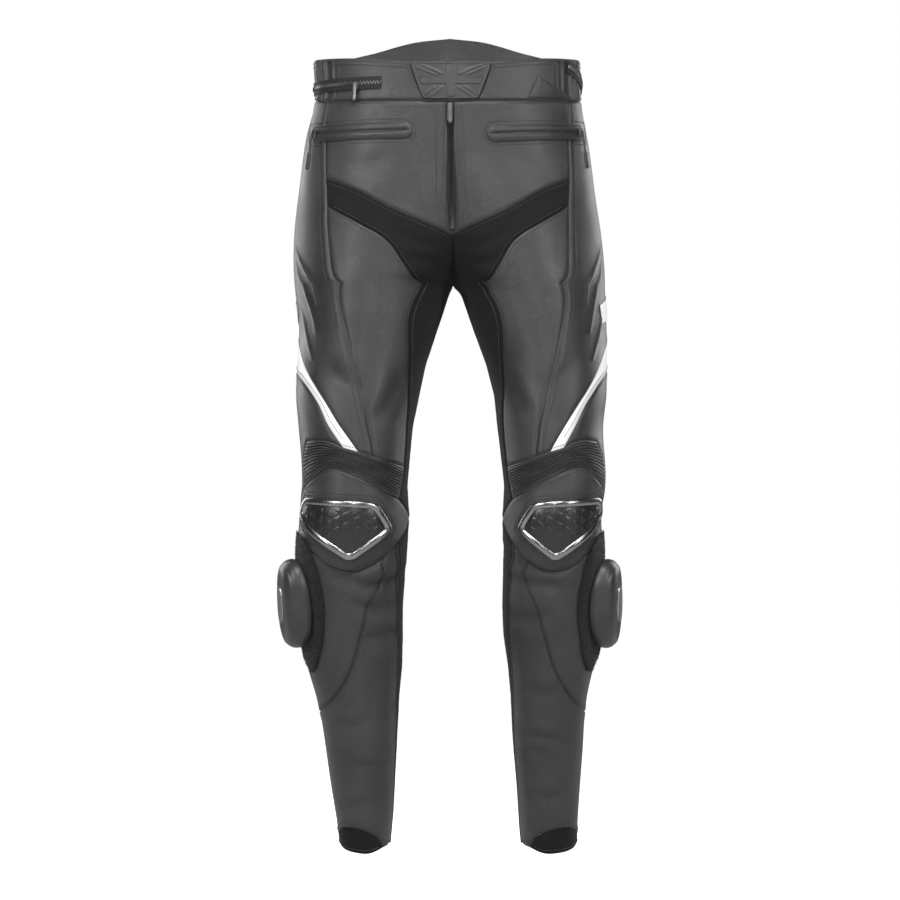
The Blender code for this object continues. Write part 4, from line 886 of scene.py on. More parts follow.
def capped(rings):
    """Points and triangles of rings (ring, station, 3) closed with a centre point at each end."""
    count = rings.shape[1]
    faces = ring_triangles(len(rings), count)
    points = np.concatenate((rings.reshape(-1, 3), rings[0].mean(axis=0)[None],
                             rings[-1].mean(axis=0)[None]))
    k = np.arange(count)
    nxt = (k + 1) % count
    last = (len(rings) - 1) * count
    first_cap = np.stack((np.full(count, len(points) - 2), nxt, k), axis=1)
    last_cap = np.stack((np.full(count, len(points) - 1), last + k, last + nxt), axis=1)
    return points, np.concatenate((faces, first_cap, last_cap))


def beads(centres, along, up, length, half, height):
    """Points and triangles of small rounded bars: three diamond sections, the end ones narrower.

    A point is centre + s * length / 2 * along + cos(a) * half * side + sin(a) * height * up, with
    s = -1, 0, 1 and the section scaled by 0.5, 1, 0.5.
    """
    across = unit(np.cross(along, up))
    angles = np.array((0.0, 0.5, 1.0, 1.5)) * math.pi
    points = []
    for s, scale in ((-1.0, 0.5), (0.0, 1.0), (1.0, 0.5)):
        for angle in angles:
            points.append(centres + along * (s * length / 2)
                          + across * (math.cos(angle) * half * scale)
                          + up * (math.sin(angle) * height * scale))
    points = np.stack(points, axis=1)
    one = ring_triangles(3, 4)
    ends = np.array(((0, 2, 1), (0, 3, 2), (8, 9, 10), (8, 10, 11)))
    one = np.concatenate((one, ends))
    faces = (one[None] + (np.arange(len(centres)) * 12)[:, None, None]).reshape(-1, 3)
    return points.reshape(-1, 3), faces


def stitches(points, along, out):
    """A row of small rounded stitches."""
    return beads(points, along, out, STITCH_LENGTH, STITCH_HALF, STITCH_HEIGHT)


def joined(parts):
    """One set of points and triangles out of several."""
    points = []
    faces = []
    count = 0
    for part_points, part_faces in parts:
        points.append(part_points)
        faces.append(part_faces + count)
        count += len(part_points)
    return np.concatenate(points), np.concatenate(faces)


def add_piece(name, shape, finish, body="root", nodes=(), marks=None, places=None, sharp=38.0):
    """One closed piece from points in millimetres, with its marks (a value a point) and its map."""
    points, faces = shape
    mesh = bpy.data.meshes.new(name)
    mesh.from_pydata((points * MM).tolist(), [], faces.tolist())
    skin = bmesh.new()
    skin.from_mesh(mesh)
    bmesh.ops.recalc_face_normals(skin, faces=skin.faces[:])
    if skin.calc_volume(signed=True) < 0:
        bmesh.ops.reverse_faces(skin, faces=skin.faces[:])
    skin.to_mesh(mesh)
    skin.free()
    mesh.polygons.foreach_set("use_smooth", np.ones(len(mesh.polygons), dtype=bool))
    mesh.set_sharp_from_angle(angle=math.radians(sharp))
    for label, values in (marks or {}).items():
        mark = mesh.attributes.new(label, "FLOAT", "POINT")
        mark.data.foreach_set("value", np.asarray(values, dtype=np.float32))
    if places is not None:
        corners = np.zeros(len(mesh.loops), dtype=np.int32)
        mesh.loops.foreach_get("vertex_index", corners)
        layer = mesh.uv_layers.new(name="cloth")
        layer.data.foreach_set("uv", (flat(places) * MM)[corners].astype(np.float32).ravel())
    material, slot = finish
    mesh.materials.append(material)
    piece = bpy.data.objects.new(name, mesh)
    bpy.context.scene.collection.objects.link(piece)
    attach(piece, body)
    if nodes:
        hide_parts(*nodes)
    return piece


def cut_size(side, outline):
    """Width and length of the smallest rectangle round a flat cut, in millimetres."""
    _, _, centre, half, _, half_depth = section(side, outline[:, 1])
    arc = last_angle(centre, half) * (half + half_depth) / 2
    laid = np.stack((outline[:, 0] * arc, outline[:, 1]), axis=1)
    best = None
    for angle in np.radians(np.arange(0, 90, 3)):
        turned = laid @ np.array(((math.cos(angle), -math.sin(angle)), (math.sin(angle), math.cos(angle))))
        size = turned.max(axis=0) - turned.min(axis=0)
        if best is None or size[0] * size[1] < best[0] * best[1]:
            best = (float(size[0]), float(size[1]))
    return best


def skin_area(points, faces):
    """Area of a skin of triangles."""
    a, b, c = points[faces[:, 0]], points[faces[:, 1]], points[faces[:, 2]]
    return float(np.linalg.norm(np.cross(b - a, c - a), axis=1).sum() / 2)


def declare_cloth(size, area):
    """Work out the rectangle round a cut, grown to hold the cut's area, and that area; nothing is kept or
    passed on.
    """
    wide, long = size
    grow = max(1.0, math.sqrt(area / (wide * long)) * 1.001)
    wide, long = wide * grow * MM, long * grow * MM
    area = max(area * MM * MM, 0.301 * wide * long)


def wrapped(v):
    """A share of the angle brought back between -1 and 1."""
    return np.where(v > 1.0, v - 2.0, v)


def crease_lines():
    """Each crease as its side, its line in the flat scale, its depth and its half width."""
    made = []
    for face, x1, z1, x2, z2, x3, z3, depth, half in CREASES:
        shares = np.linspace(0, 1, 13)
        xs = smooth_curve(shares, (0, 0.5, 1), (x1, x2, x3))
        zs = smooth_curve(shares, (0, 0.5, 1), (z1, z2, z3))
        side = side_share(x2, z2)[0]
        v = [face * float(angle_share(side, side_share(x, z)[1], z)) for x, z in zip(xs, zs)]
        made.append((side, flat(np.stack((v, zs), axis=1)), depth, half))
    return made


CREASE_LINES = crease_lines()


def calm(side, places):
    """A mask that is 0 under the hard pieces: 1 - exp(-r^6), r measured in each ellipse."""
    at = flat(np.stack((wrapped(places[:, 0]), places[:, 1]), axis=1))
    mask = np.ones(len(at))
    for calm_side, t, z, wide, tall in CALM:
        if calm_side == side:
            middle = (float(angle_share(side, t, z)) * FLAT_WIDTH, z)
            r = np.hypot((at[:, 0] - middle[0]) / wide, (at[:, 1] - middle[1]) / tall)
            mask *= 1.0 - np.exp(-np.minimum(r, 3.0) ** 6)
    return mask


def crease_height(side, places):
    """Height of the cloth at places (v, z).

    Each crease adds -depth * exp(-(d / h)^2) along its line, 0.5 * depth * exp(-((d - 2h) / 1.2h)^2)
    above it and half of that below it, faded to its ends. Two slow waves keep the cloth uneven.
    """
    at = flat(np.stack((wrapped(places[:, 0]), places[:, 1]), axis=1))
    total = np.zeros(len(at))
    for crease_side, line, depth, half in CREASE_LINES:
        if crease_side != side:
            continue
        reach = half * 5.0
        near = np.all((at > line.min(axis=0) - reach) & (at < line.max(axis=0) + reach), axis=1)
        if not near.any():
            continue
        some = at[near]
        start = line[:-1]
        run = np.diff(line, axis=0)
        to = some[:, None] - start[None]
        share = np.clip((to * run).sum(-1) / (run * run).sum(-1), 0, 1)
        off = to - share[..., None] * run
        distance = np.linalg.norm(off, axis=-1)
        index = distance.argmin(axis=1)
        pick = np.arange(len(some))
        along = (index + share[pick, index]) / len(run)
        upward = np.sign(off[pick, index, 1])
        d = distance[pick, index] * upward
        fade = np.sin(math.pi * np.clip(along, 0.02, 0.98)) ** 0.6
        total[near] += fade * (-depth * np.exp(-(d / half) ** 2)
                               + 0.5 * depth * np.exp(-((d - 2 * half) / (1.2 * half)) ** 2)
                               + 0.25 * depth * np.exp(-((d + 2.2 * half) / (1.4 * half)) ** 2))
    v, z = at[:, 0], at[:, 1]
    slow = 0.45 * np.sin(v / 31.0 + z / 47.0 + side) * np.sin(z / 38.0 - v / 83.0 + 1.3 * side)
    slow += 0.3 * np.sin(v / 17.0 - z / 29.0 + 2.0 * side) * np.cos(z / 61.0)
    return (CREASE_GAIN * total + 1.25 * slow) * calm(side, places)


def edge_puff(distance):
    """A dip where cloth is sewn, a swell beside it: -1.15 exp(-(d/1.6)^2) + 0.55 exp(-((d-5)/3)^2)."""
    return -1.15 * np.exp(-(distance / 1.6) ** 2) + 0.55 * np.exp(-((distance - 5.0) / 3.0) ** 2)


def edge_rows(outline):
    """Rows of places inside an outline, close to its edge."""
    rows = []
    for amount in EDGE_ROWS:
        row = inset(outline, amount)
        row = row[inside(outline, row)]
        rows.append(row[edge_distance(flat(outline), flat(row)) > amount * 0.85])
    return np.concatenate(rows)


def grid_places(side, outline, step, keep):
    """Even places (v, z) inside an outline, in staggered rows, no closer than keep to its edge."""
    low = outline.min(axis=0)
    high = outline.max(axis=0)
    rows = []
    for number, height in enumerate(np.arange(low[1] + step * 0.5, high[1], step * 0.87)):
        _, _, centre, half, _, half_depth = section(side, height)
        length = float(last_angle(centre, half)) * (float(half) + float(half_depth)) / 2
        across = step / length
        v = np.arange(low[0] + across * (0.25 + 0.5 * (number % 2)), high[0], across)
        rows.append(np.stack((v, np.full(len(v), height)), axis=1))
    places = np.concatenate(rows)
    places = places[inside(outline, places)]
    return places[edge_distance(flat(outline), flat(places)) > keep]


def turned_for(side, outline):
    """An outline turned so that moving in from its edge goes inwards."""
    return outline[::-1] if turning(flat(outline)) * side > 0 else outline


def cloth_shell(side, outline, extra, thick, relief, base, gap):
    """A shell over an outline: outer face at folds + base + relief, inner face thick below that base.

    relief is a function of the places and of their distance from the edge.
    """
    outline = turned_for(side, outline)
    count = len(outline)
    places = np.concatenate((outline, extra))
    faces = triangles_in(flat(outline), flat(extra))
    points = tube_point(side, places[:, 0], places[:, 1])
    normals = tube_normal(side, places[:, 0], places[:, 1])
    points[:count] = inward(points[:count], normals[:count], gap)
    distance = edge_distance(flat(outline), flat(places))
    folds = crease_height(side, places) + base
    raised = relief(places, distance)
    outer = points + normals * (folds + raised)[:, None]
    inner = points + normals * (folds - thick)[:, None]
    middle = (np.abs(wrapped(places[:, 0])) > 0.999) & (places[:, 1] > CROTCH_Z - 0.5)
    outer[middle, 0] = points[middle, 0]
    inner[middle, 0] = points[middle, 0]
    shape = closed_wall(outer, inner, faces, np.arange(count))
    # The seam mark is painted shade along the seam groove at the edge; the ridge mark, the fold height, is
    # painted highlight on crests and painted shade in troughs.
    marks = {"seam": np.tile(np.exp(-distance / 5.0), 2), "ridge": np.tile((folds - base) / 2.5, 2)}
    return shape, marks, np.tile(places, (2, 1)), skin_area(points, faces)


def new_group(name, inputs, outputs):
    """A shader node group with its sockets; gives the tree and its two end nodes."""
    tree = bpy.data.node_groups.new(name, "ShaderNodeTree")
    for label, value in inputs:
        socket = tree.interface.new_socket(label, in_out="INPUT", socket_type="NodeSocketFloat")
        socket.default_value = value
    for label in outputs:
        tree.interface.new_socket(label, in_out="OUTPUT", socket_type="NodeSocketFloat")
    return tree, tree.nodes.new("NodeGroupInput"), tree.nodes.new("NodeGroupOutput")


def maths(tree, operation, a, b=None, c=None):
    """A maths node fed with sockets or numbers; gives its result."""
    node = tree.nodes.new("ShaderNodeMath")
    node.operation = operation
    for socket, value in zip(node.inputs, (a, b, c)):
        if value is None:
            continue
        if isinstance(value, (int, float)):
            socket.default_value = value
        else:
            tree.links.new(value, socket)
    return node.outputs[0]


def textured(tree, kind, vector, scale, detail=2.0, rough=0.5, feature=None):
    """A noise or cell texture; gives its value."""
    node = tree.nodes.new(kind)
    if vector is not None:
        tree.links.new(vector, node.inputs["Vector"])
    if isinstance(scale, (int, float)):
        node.inputs["Scale"].default_value = scale
    else:
        tree.links.new(scale, node.inputs["Scale"])
    if kind == "ShaderNodeTexVoronoi":
        node.feature = feature
        return node.outputs["Distance"]
    node.inputs["Detail"].default_value = detail
    node.inputs["Roughness"].default_value = rough
    return node.outputs[0]


def mapped(tree, value, low, high, to_low=0.0, to_high=1.0):
    """A value brought from one range to another."""
    node = tree.nodes.new("ShaderNodeMapRange")
    tree.links.new(value, node.inputs[0])
    for number, bound in enumerate((low, high, to_low, to_high), 1):
        node.inputs[number].default_value = bound
    return node.outputs[0]


def hide_grain():
    """Leather grain: pebbles parted by fine valleys, with soft patches of deeper grain."""
    tree, start, end = new_group("hide_grain", (("Pebbles", 620.0), ("Patches", 14.0)), ("Height", "Tone"))
    where = tree.nodes.new("ShaderNodeTexCoord").outputs["Object"]
    pebbles = start.outputs["Pebbles"]
    cells = textured(tree, "ShaderNodeTexVoronoi", where, pebbles, feature="DISTANCE_TO_EDGE")
    valleys = mapped(tree, cells, 0.0, 0.16)
    fine_scale = maths(tree, "MULTIPLY", pebbles, 0.45)
    fine = textured(tree, "ShaderNodeTexNoise", where, fine_scale, 3.0, 0.6)
    patches = textured(tree, "ShaderNodeTexNoise", where, start.outputs["Patches"], 3.0, 0.55)
    soft = mapped(tree, patches, 0.35, 0.65)
    depth = maths(tree, "MULTIPLY_ADD", soft, 0.4, 0.45)
    height = maths(tree, "MULTIPLY_ADD", valleys, depth, maths(tree, "MULTIPLY", fine, 0.5))
    tree.links.new(height, end.inputs["Height"])
    tree.links.new(soft, end.inputs["Tone"])
    return tree


def yarn_weave():
    """A fine knit or weave: crossed sine waves round and up the cloth, with slubs from a noise."""
    tree, start, end = new_group("yarn_weave", (("Yarns", 900.0),), ("Height", "Tone"))
    where = tree.nodes.new("ShaderNodeTexCoord").outputs["Object"]
    parts = tree.nodes.new("ShaderNodeSeparateXYZ")
    tree.links.new(where, parts.inputs[0])
    round_it = maths(tree, "ADD", parts.outputs[0], parts.outputs[1])
    turn = maths(tree, "MULTIPLY", start.outputs["Yarns"], 2 * math.pi)
    waves = []
    for operation in ("ADD", "SUBTRACT"):
        way = maths(tree, operation, round_it, parts.outputs[2])
        waves.append(maths(tree, "SINE", maths(tree, "MULTIPLY", way, turn)))
    crossed = maths(tree, "MULTIPLY", *waves)
    slubs = textured(tree, "ShaderNodeTexNoise", where, 260.0, 3.0, 0.6)
    height = maths(tree, "MULTIPLY_ADD", crossed, 0.5, slubs)
    patches = mapped(tree, textured(tree, "ShaderNodeTexNoise", where, 30.0, 3.0, 0.6), 0.3, 0.7)
    tree.links.new(height, end.inputs["Height"])
    tree.links.new(patches, end.inputs["Tone"])
    return tree


def hard_skin():
    """Moulded or brushed skin: a fine noise drawn out along one way, with a few faint scuffs."""
    tree, start, end = new_group("hard_skin", (("Grain", 900.0), ("Draw", 0.15)), ("Height", "Tone"))
    where = tree.nodes.new("ShaderNodeTexCoord").outputs["Object"]
    parts = tree.nodes.new("ShaderNodeSeparateXYZ")
    tree.links.new(where, parts.inputs[0])
    joined_up = tree.nodes.new("ShaderNodeCombineXYZ")
    tree.links.new(parts.outputs[0], joined_up.inputs[0])
    tree.links.new(parts.outputs[1], joined_up.inputs[1])
    tree.links.new(maths(tree, "MULTIPLY", parts.outputs[2], start.outputs["Draw"]), joined_up.inputs[2])
    fine = textured(tree, "ShaderNodeTexNoise", joined_up.outputs[0], start.outputs["Grain"], 3.0, 0.6)
    scuffs = mapped(tree, textured(tree, "ShaderNodeTexNoise", where, 55.0, 6.0, 0.7), 0.45, 0.75)
    tree.links.new(fine, end.inputs["Height"])
    tree.links.new(scuffs, end.inputs["Tone"])
    return tree


GROUPS = {"hide": hide_grain(), "yarn": yarn_weave(), "hard": hard_skin()}


def make_finish(name, pattern, settings, dark, light, rough, bump,
                metal=0.0, sheen=0.0, coat=0.0, shine=0.5):
    """A material: a pattern group gives tone and height, and the marks on the mesh add painted highlights
    and painted shade.

    Colour goes from dark to light with the pattern's uneven tone, which is the hide's own, lighter on
    raised ridges as a painted highlight and darker in fold troughs as painted shade, and back to dark
    beside seams and edges as painted shade.
    Roughness rises with height and tone, and the height feeds a bump of a depth in metres.
    """
    made = bpy.data.materials.new(name)
    made.use_nodes = True
    tree = made.node_tree
    shader = tree.nodes["Principled BSDF"]
    for label, value in (("Metallic", metal), ("Specular IOR Level", shine), ("Sheen Weight", sheen),
                         ("Sheen Roughness", 0.45), ("Coat Weight", coat), ("Coat Roughness", 0.3)):
        shader.inputs[label].default_value = value
    part = tree.nodes.new("ShaderNodeGroup")
    part.node_tree = GROUPS[pattern]
    for label, value in settings.items():
        part.inputs[label].default_value = value
    marks = {}
    for label in ("ridge", "seam"):
        node = tree.nodes.new("ShaderNodeAttribute")
        node.attribute_name = label
        marks[label] = node.outputs["Fac"]
    # Painted light: the ridge mark lightens fold crests and darkens fold troughs, and the seam mark darkens
    # beside seams and edges, as painted highlight and painted shade; the tone is the leather's own.
    tone_and_painted_light = maths(tree, "MULTIPLY", part.outputs["Tone"], 0.42)
    tone_and_painted_light = maths(tree, "MULTIPLY_ADD", marks["ridge"], 0.22, tone_and_painted_light)
    tone_and_painted_light = maths(tree, "MULTIPLY_ADD", marks["seam"], -0.30, maths(tree, "ADD", tone_and_painted_light, 0.28))
    ramp = tree.nodes.new("ShaderNodeMix")
    ramp.data_type = "RGBA"
    tree.links.new(tone_and_painted_light, ramp.inputs["Factor"])
    ramp.inputs[6].default_value = (*dark, 1.0)
    ramp.inputs[7].default_value = (*light, 1.0)
    tree.links.new(ramp.outputs[2], shader.inputs["Base Color"])
    low = maths(tree, "MULTIPLY_ADD", part.outputs["Height"], 0.12, rough - 0.08)
    tree.links.new(maths(tree, "MULTIPLY_ADD", part.outputs["Tone"], 0.06, low), shader.inputs["Roughness"])
    dent = tree.nodes.new("ShaderNodeBump")
    dent.inputs["Strength"].default_value = 1.0
    dent.inputs["Distance"].default_value = bump
    tree.links.new(part.outputs["Height"], dent.inputs["Height"])
    tree.links.new(dent.outputs[0], shader.inputs["Normal"])
    return made


FINISHES = {
    name: (make_finish("finish_" + name, pattern, settings, dark, light, rough, bump, **more), slot)
    for name, slot, pattern, settings, dark, light, rough, bump, more in FINISH_ROWS
}


def rib_relief(shares, v):
    """Soft ribs over the knee: depth * (|sin(pi * n * s)|^0.8 * uneven - 0.35), s down the panel."""
    wave = shares + 0.006 * np.sin(v * 19.0) + 0.004 * np.sin(v * 43.0 + 9.0 * shares)
    rib = np.abs(np.sin(math.pi * RIB_COUNT * wave)) ** 0.8
    uneven = 1.0 + 0.18 * np.sin(v * 27.0 + 11.0 * shares) + 0.12 * np.sin(v * 9.0 - 23.0 * shares)
    return RIB_DEPTH * (rib * uneven - 0.35)


def along_line(line, shares):
    """The places at shares of a line's length."""
    walked = np.concatenate(((0.0,), np.cumsum(np.linalg.norm(np.diff(flat(line), axis=0), axis=1))))
    at = shares * walked[-1]
    return np.stack((np.interp(at, walked, line[:, 0]), np.interp(at, walked, line[:, 1])), axis=1)


def add_rib_panel(side, lines):
    """The ribbed stretch over the knee: a patch between four seams with ribs raised across it."""
    top = np.concatenate([lines[name][:-1] for name in ("ribs_a", "ribs_b", "ribs_c")] + [lines["ribs_d"]])
    low = lines["ribs_low"]
    s = np.linspace(0, 1, RIB_COLUMNS)
    d = np.linspace(0, 1, RIB_COUNT * RIB_STEPS + 1)
    upper = along_line(top, s)[None]
    lower = along_line(low, s)[None]
    first = along_line(lines["ribs_outer"], d)[:, None]
    last = along_line(lines["ribs_inner"], d)[:, None]
    s = s[None, :, None]
    d = d[:, None, None]
    corner = (top[0] * (1 - s) + top[-1] * s) * (1 - d) + (low[0] * (1 - s) + low[-1] * s) * d
    places = upper * (1 - d) + lower * d + first * (1 - s) + last * s - corner
    rows, columns = places.shape[:2]
    laid = places.reshape(-1, 2)
    outline = np.concatenate((top[:-1], lines["ribs_inner"][:-1], low[:0:-1], lines["ribs_outer"][:0:-1]))
    distance = edge_distance(flat(outline), flat(laid))
    shares = np.repeat(d.ravel(), columns)
    ribs = rib_relief(shares, laid[:, 0]) * (1.0 - np.exp(-(distance / 3.0) ** 2))
    points = tube_point(side, laid[:, 0], laid[:, 1])
    normals = tube_normal(side, laid[:, 0], laid[:, 1])
    height = ribs - 0.6 * np.exp(-(distance / 1.6) ** 2)
    outer = (points + normals * height[:, None]).reshape(rows, columns, 3)
    inner = (points + normals * (np.minimum(ribs, 0.0) - LEATHER)[:, None]).reshape(rows, columns, 3)
    # Painted light: the seam mark is painted shade along the edges, the ridge mark painted highlight on the
    # rib tops and painted shade between them.
    marks = {"seam": np.tile(np.exp(-distance / 4.0), 2), "ridge": np.tile(ribs / RIB_DEPTH, 2)}
    name = side_name(side, "rib_panel")
    piece = add_piece(name + "_ribs", grid_shell(outer, inner), FINISHES["leather"], nodes=(name,),
                      marks=marks, places=np.tile(laid, (2, 1)))
    area = skin_area(points, grid_faces(rows, columns)[0]) * 1.25
    wide, tall = cut_size(side, outline)
    declare_cloth((wide, tall * 1.2), area)


def side_rib_lines(side):
    """The lines of the raised ribs on a side panel, in places (v, z)."""
    made = []
    for start_t, start_z, middle_t, middle_z, end_t, end_z in SIDE_RIBS:
        t = np.array((start_t, middle_t, end_t))
        z = np.array((start_z, middle_z, end_z), float)
        v = angle_share(side, t, z)
        shares = np.linspace(0, 1, 26)
        made.append(np.stack((smooth_curve(shares, (0, 0.5, 1), v), smooth_curve(shares, (0, 0.5, 1), z)),
                             axis=1))
    return made


def with_side_ribs(height, ribs, places):
    """A height with raised ribs: SIDE_RIB_HEIGHT * fade * exp(-(d / SIDE_RIB_SOFT)^2) added for each.

    d is the distance from the rib's line, and the fade is sin(pi * s)^0.5 along it, no lower than 0.7
    in its second half.
    """
    for rib in ribs:
        to = np.linalg.norm(flat(places)[:, None] - flat(rib)[None], axis=-1)
        near = to.argmin(axis=1)
        last = len(rib) - 1
        fade = np.sin(math.pi * np.clip(near / last, 0.04, 1.0)) ** 0.5
        fade = np.where(near > last // 2, np.maximum(fade, 0.7 * (near < last)), fade)
        height = height + SIDE_RIB_HEIGHT * fade * np.exp(-(to.min(axis=1) / SIDE_RIB_SOFT) ** 2)
    return height


def moved_line(line, amount):
    """A line of places moved to its left in the flat scale."""
    run = np.gradient(flat(line), axis=0)
    across = unit(np.stack((-run[:, 1], run[:, 0]), axis=1))
    return line + across * amount / np.array((FLAT_WIDTH, 1.0))


def add_panels(side, lines):
    """Every cloth panel of one side as a thin folded shell in place of its solid."""
    ribs = side_rib_lines(side)
    for name, finish, thick, names in PANELS:
        if name == "rib_panel":
            add_rib_panel(side, lines)
            continue
        outline = chained(lines, names)
        inner = grid_places(side, outline, GRID_STEP, EDGE_ROWS[-1] + GRID_STEP * 0.5)
        extra = np.concatenate((edge_rows(outline), inner))
        if name == "side_panel":
            rows = np.concatenate([moved_line(rib, amount) for rib in ribs for amount in SIDE_RIB_ROWS])
            rows = rows[inside(outline, rows)]
            rows = rows[edge_distance(flat(outline), flat(rows)) > 1.5]
            away = np.linalg.norm(flat(extra)[:, None] - flat(rows)[None], axis=-1).min(axis=1)
            extra = np.concatenate((rows, extra[away > 2.6]))

        def relief(places, distance, name=name):
            height = edge_puff(distance)
            return with_side_ribs(height, ribs, places) if name == "side_panel" else height

        node = side_name(side, name)
        shape, marks, places, area = cloth_shell(side, outline, extra, thick, relief, 0.0, HALF_GAP)
        piece = add_piece(node + "_cloth", shape, FINISHES[finish], nodes=(node,), marks=marks,
                          places=places)
        declare_cloth(cut_size(side, outline), area)


def row_on_cloth(side, line, pitch, lift):
    """Evenly spaced points over a line of places with the way along, the way out and each place."""
    path = tube_point(side, line[:, 0], line[:, 1])
    places = evenly(line, path, max(2, int(round(path_length(path) / pitch))))
    normals = tube_normal(side, places[:, 0], places[:, 1])
    points = tube_point(side, places[:, 0], places[:, 1])
    points = points + normals * (crease_height(side, places) + lift)[:, None]
    along = unit(np.gradient(points, axis=0))
    return points, along, normals


def add_stitches(side, lines):
    """The rows of sewing beside the seams, as one piece of small rounded stitches."""
    parts = []
    for name, amount in STITCHED:
        line = moved_line(lines[name], amount)
        line = line[2:-2] if len(line) > 8 else line
        lift = float(edge_puff(np.array(abs(amount)))) + 0.12
        parts.append(stitches(*row_on_cloth(side, line, STITCH_PITCH, lift)))
    add_piece(side_name(side, "stitches"), joined(parts), FINISHES["thread"])


def add_piping(side, lines):
    """A thin cord of leather in the seam down the inner shin: circles of radius r along the seam."""
    points, along, normals = row_on_cloth(side, lines["shin_inner"], 4.0, 0.1)
    across = np.cross(along, normals)
    c, s = round_shape(8, 2.0)
    rings = (points[:, None] + normals[:, None] * (c * PIPING_RADIUS)[None, :, None]
             + across[:, None] * (s * PIPING_RADIUS)[None, :, None])
    add_piece(side_name(side, "shin_piping"), capped(rings), FINISHES["smooth"])


def band_columns():
    """Side, share and seam height of the waistband's columns, fine, from front to front."""
    sides = []
    shares = []
    lows = []
    for side in (-1, 1):
        lines = seam_table(side)
        row = np.concatenate((lines["waist_a"][:-1], lines["waist_b"][:-1], lines["waist_c"]))
        v, z = evenly(row, tube_point(side, row[:, 0], row[:, 1]), BAND_COLUMNS).T
        if side > 0:
            v, z = v[-2::-1], z[-2::-1]
        sides.append(np.full(len(v), side))
        shares.append(v)
        lows.append(z)
    return np.concatenate(sides), np.concatenate(shares), np.concatenate(lows)


def band_top(v):
    """The height of the waistband's upper edge."""
    keys = np.array([float(angle_share(-1, t, 0.0)) for t, _ in BAND_TOP])
    return smooth_curve(v, keys, [z for _, z in BAND_TOP])


def band_face(sides, v, z):
    """Points and outward normals of the waistband over arrays of sides, shares and heights."""
    points = np.where(sides[..., None] < 0, tube_point(-1, v, z), tube_point(1, v, z))
    normals = np.where(sides[..., None] < 0, tube_normal(-1, v, z), tube_normal(1, v, z))
    flatten = (v < -0.985)[..., None] & (np.arange(3) == 0)
    normals = np.where(flatten, 0.0, normals)
    return points, unit(normals)


def band_gathers(sides, v, share_up):
    """Gathers where elastic draws the band in: sine folds, strong at the sides, weak at the back."""
    strong = np.exp(-((v - 0.22) / 0.13) ** 2)
    weak = 0.6 * np.exp(-((v + 0.38) / 0.16) ** 2)
    phase = v * 118.0 + 1.7 * np.sin(v * 31.0) + 0.5 * sides
    fold = np.sin(phase) + 0.35 * np.sin(2.1 * phase + 1.0)
    body = np.sin(math.pi * np.clip(share_up, 0.0, 1.0)) ** 0.5
    return 1.9 * (strong + weak) * fold * (0.35 + 0.65 * body)


def add_waistband():
    """The waistband: a strap with rolled edges, gathered at the sides, and its rows of sewing."""
    sides, v, low = band_columns()
    top = band_top(v)
    up = np.linspace(0, 1, 23)
    up = 0.5 - 0.5 * np.cos(math.pi * up)
    z = low[:, None] + HALF_GAP + (top - low - HALF_GAP)[:, None] * up[None]
    wide_v = np.broadcast_to(v[:, None], z.shape)
    wide_sides = np.broadcast_to(sides[:, None], z.shape)
    points, normals = band_face(wide_sides, wide_v, z)
    from_low = z - low[:, None]
    from_top = top[:, None] - z
    folds = band_gathers(wide_sides, wide_v, np.broadcast_to(up[None], z.shape))
    roll = edge_puff(from_low) + 0.5 * edge_puff(from_top) - 0.35 * np.exp(-((from_top - 6.0) / 1.1) ** 2)
    outer = points + normals * (roll + folds)[..., None]
    inner = points + normals * (folds - BAND)[..., None]
    distance = np.minimum(from_low, from_top)
    # Painted light: the seam mark is painted shade along the top and bottom edges, the ridge mark painted
    # highlight on the gathers' crests and painted shade in their troughs.
    marks = {"seam": np.tile(np.exp(-distance / 4.0).ravel(), 2), "ridge": np.tile(folds.ravel() / 2.0, 2)}
    places = np.stack((wide_v * wide_sides, z), axis=-1).reshape(-1, 2)
    piece = add_piece("waistband_strap", grid_shell(outer, inner), FINISHES["leather"],
                      nodes=("waistband",), marks=marks, places=np.tile(places, (2, 1)))
    length = path_length(points[:, 11])
    area = skin_area(points.reshape(-1, 3), grid_faces(*z.shape)[0])
    declare_cloth((float((top - low).max()), length * 1.06), area * 1.06)
    parts = []
    for amount in (3.2, -3.4, -8.2):
        line_z = low + amount if amount > 0 else top + amount
        share_up = (line_z - low) / (top - low)
        face, out = band_face(sides, v, line_z)
        face = face + out * (band_gathers(sides, v, share_up) + 0.3)[:, None]
        centres, ups = (evenly(rows, face, int(path_length(face) / STITCH_PITCH)) for rows in (face, out))
        along = unit(np.gradient(centres, axis=0))
        parts.append(stitches(centres, along, ups))
    add_piece("waistband_stitches", joined(parts), FINISHES["thread"])


def front_places(x, z):
    """Sides and shares of points seen from the front at x and z."""
    shift = centre_shift(z)
    sides = np.where(x < shift, -1, 1)
    found = []
    for side in (-1, 1):
        outer, inner = section(side, z)[:2]
        inner = np.maximum(inner, 0.0)
        t = np.clip((outer - side * (x - shift)) / (outer - inner), 0.0, 1.0)
        found.append(angle_share(side, t, z))
    return sides, np.where(sides < 0, found[0], found[1])


def front_face(x, z):
    """Points and outward normals of the cloth face seen from the front at x and z."""
    sides, v = front_places(x, z)
    points, normals = band_face(sides, v, z)
    middle = np.abs(x - centre_shift(z)) < 1.5
    normals[..., 0] = np.where(middle, 0.0, normals[..., 0])
    return points, unit(normals)


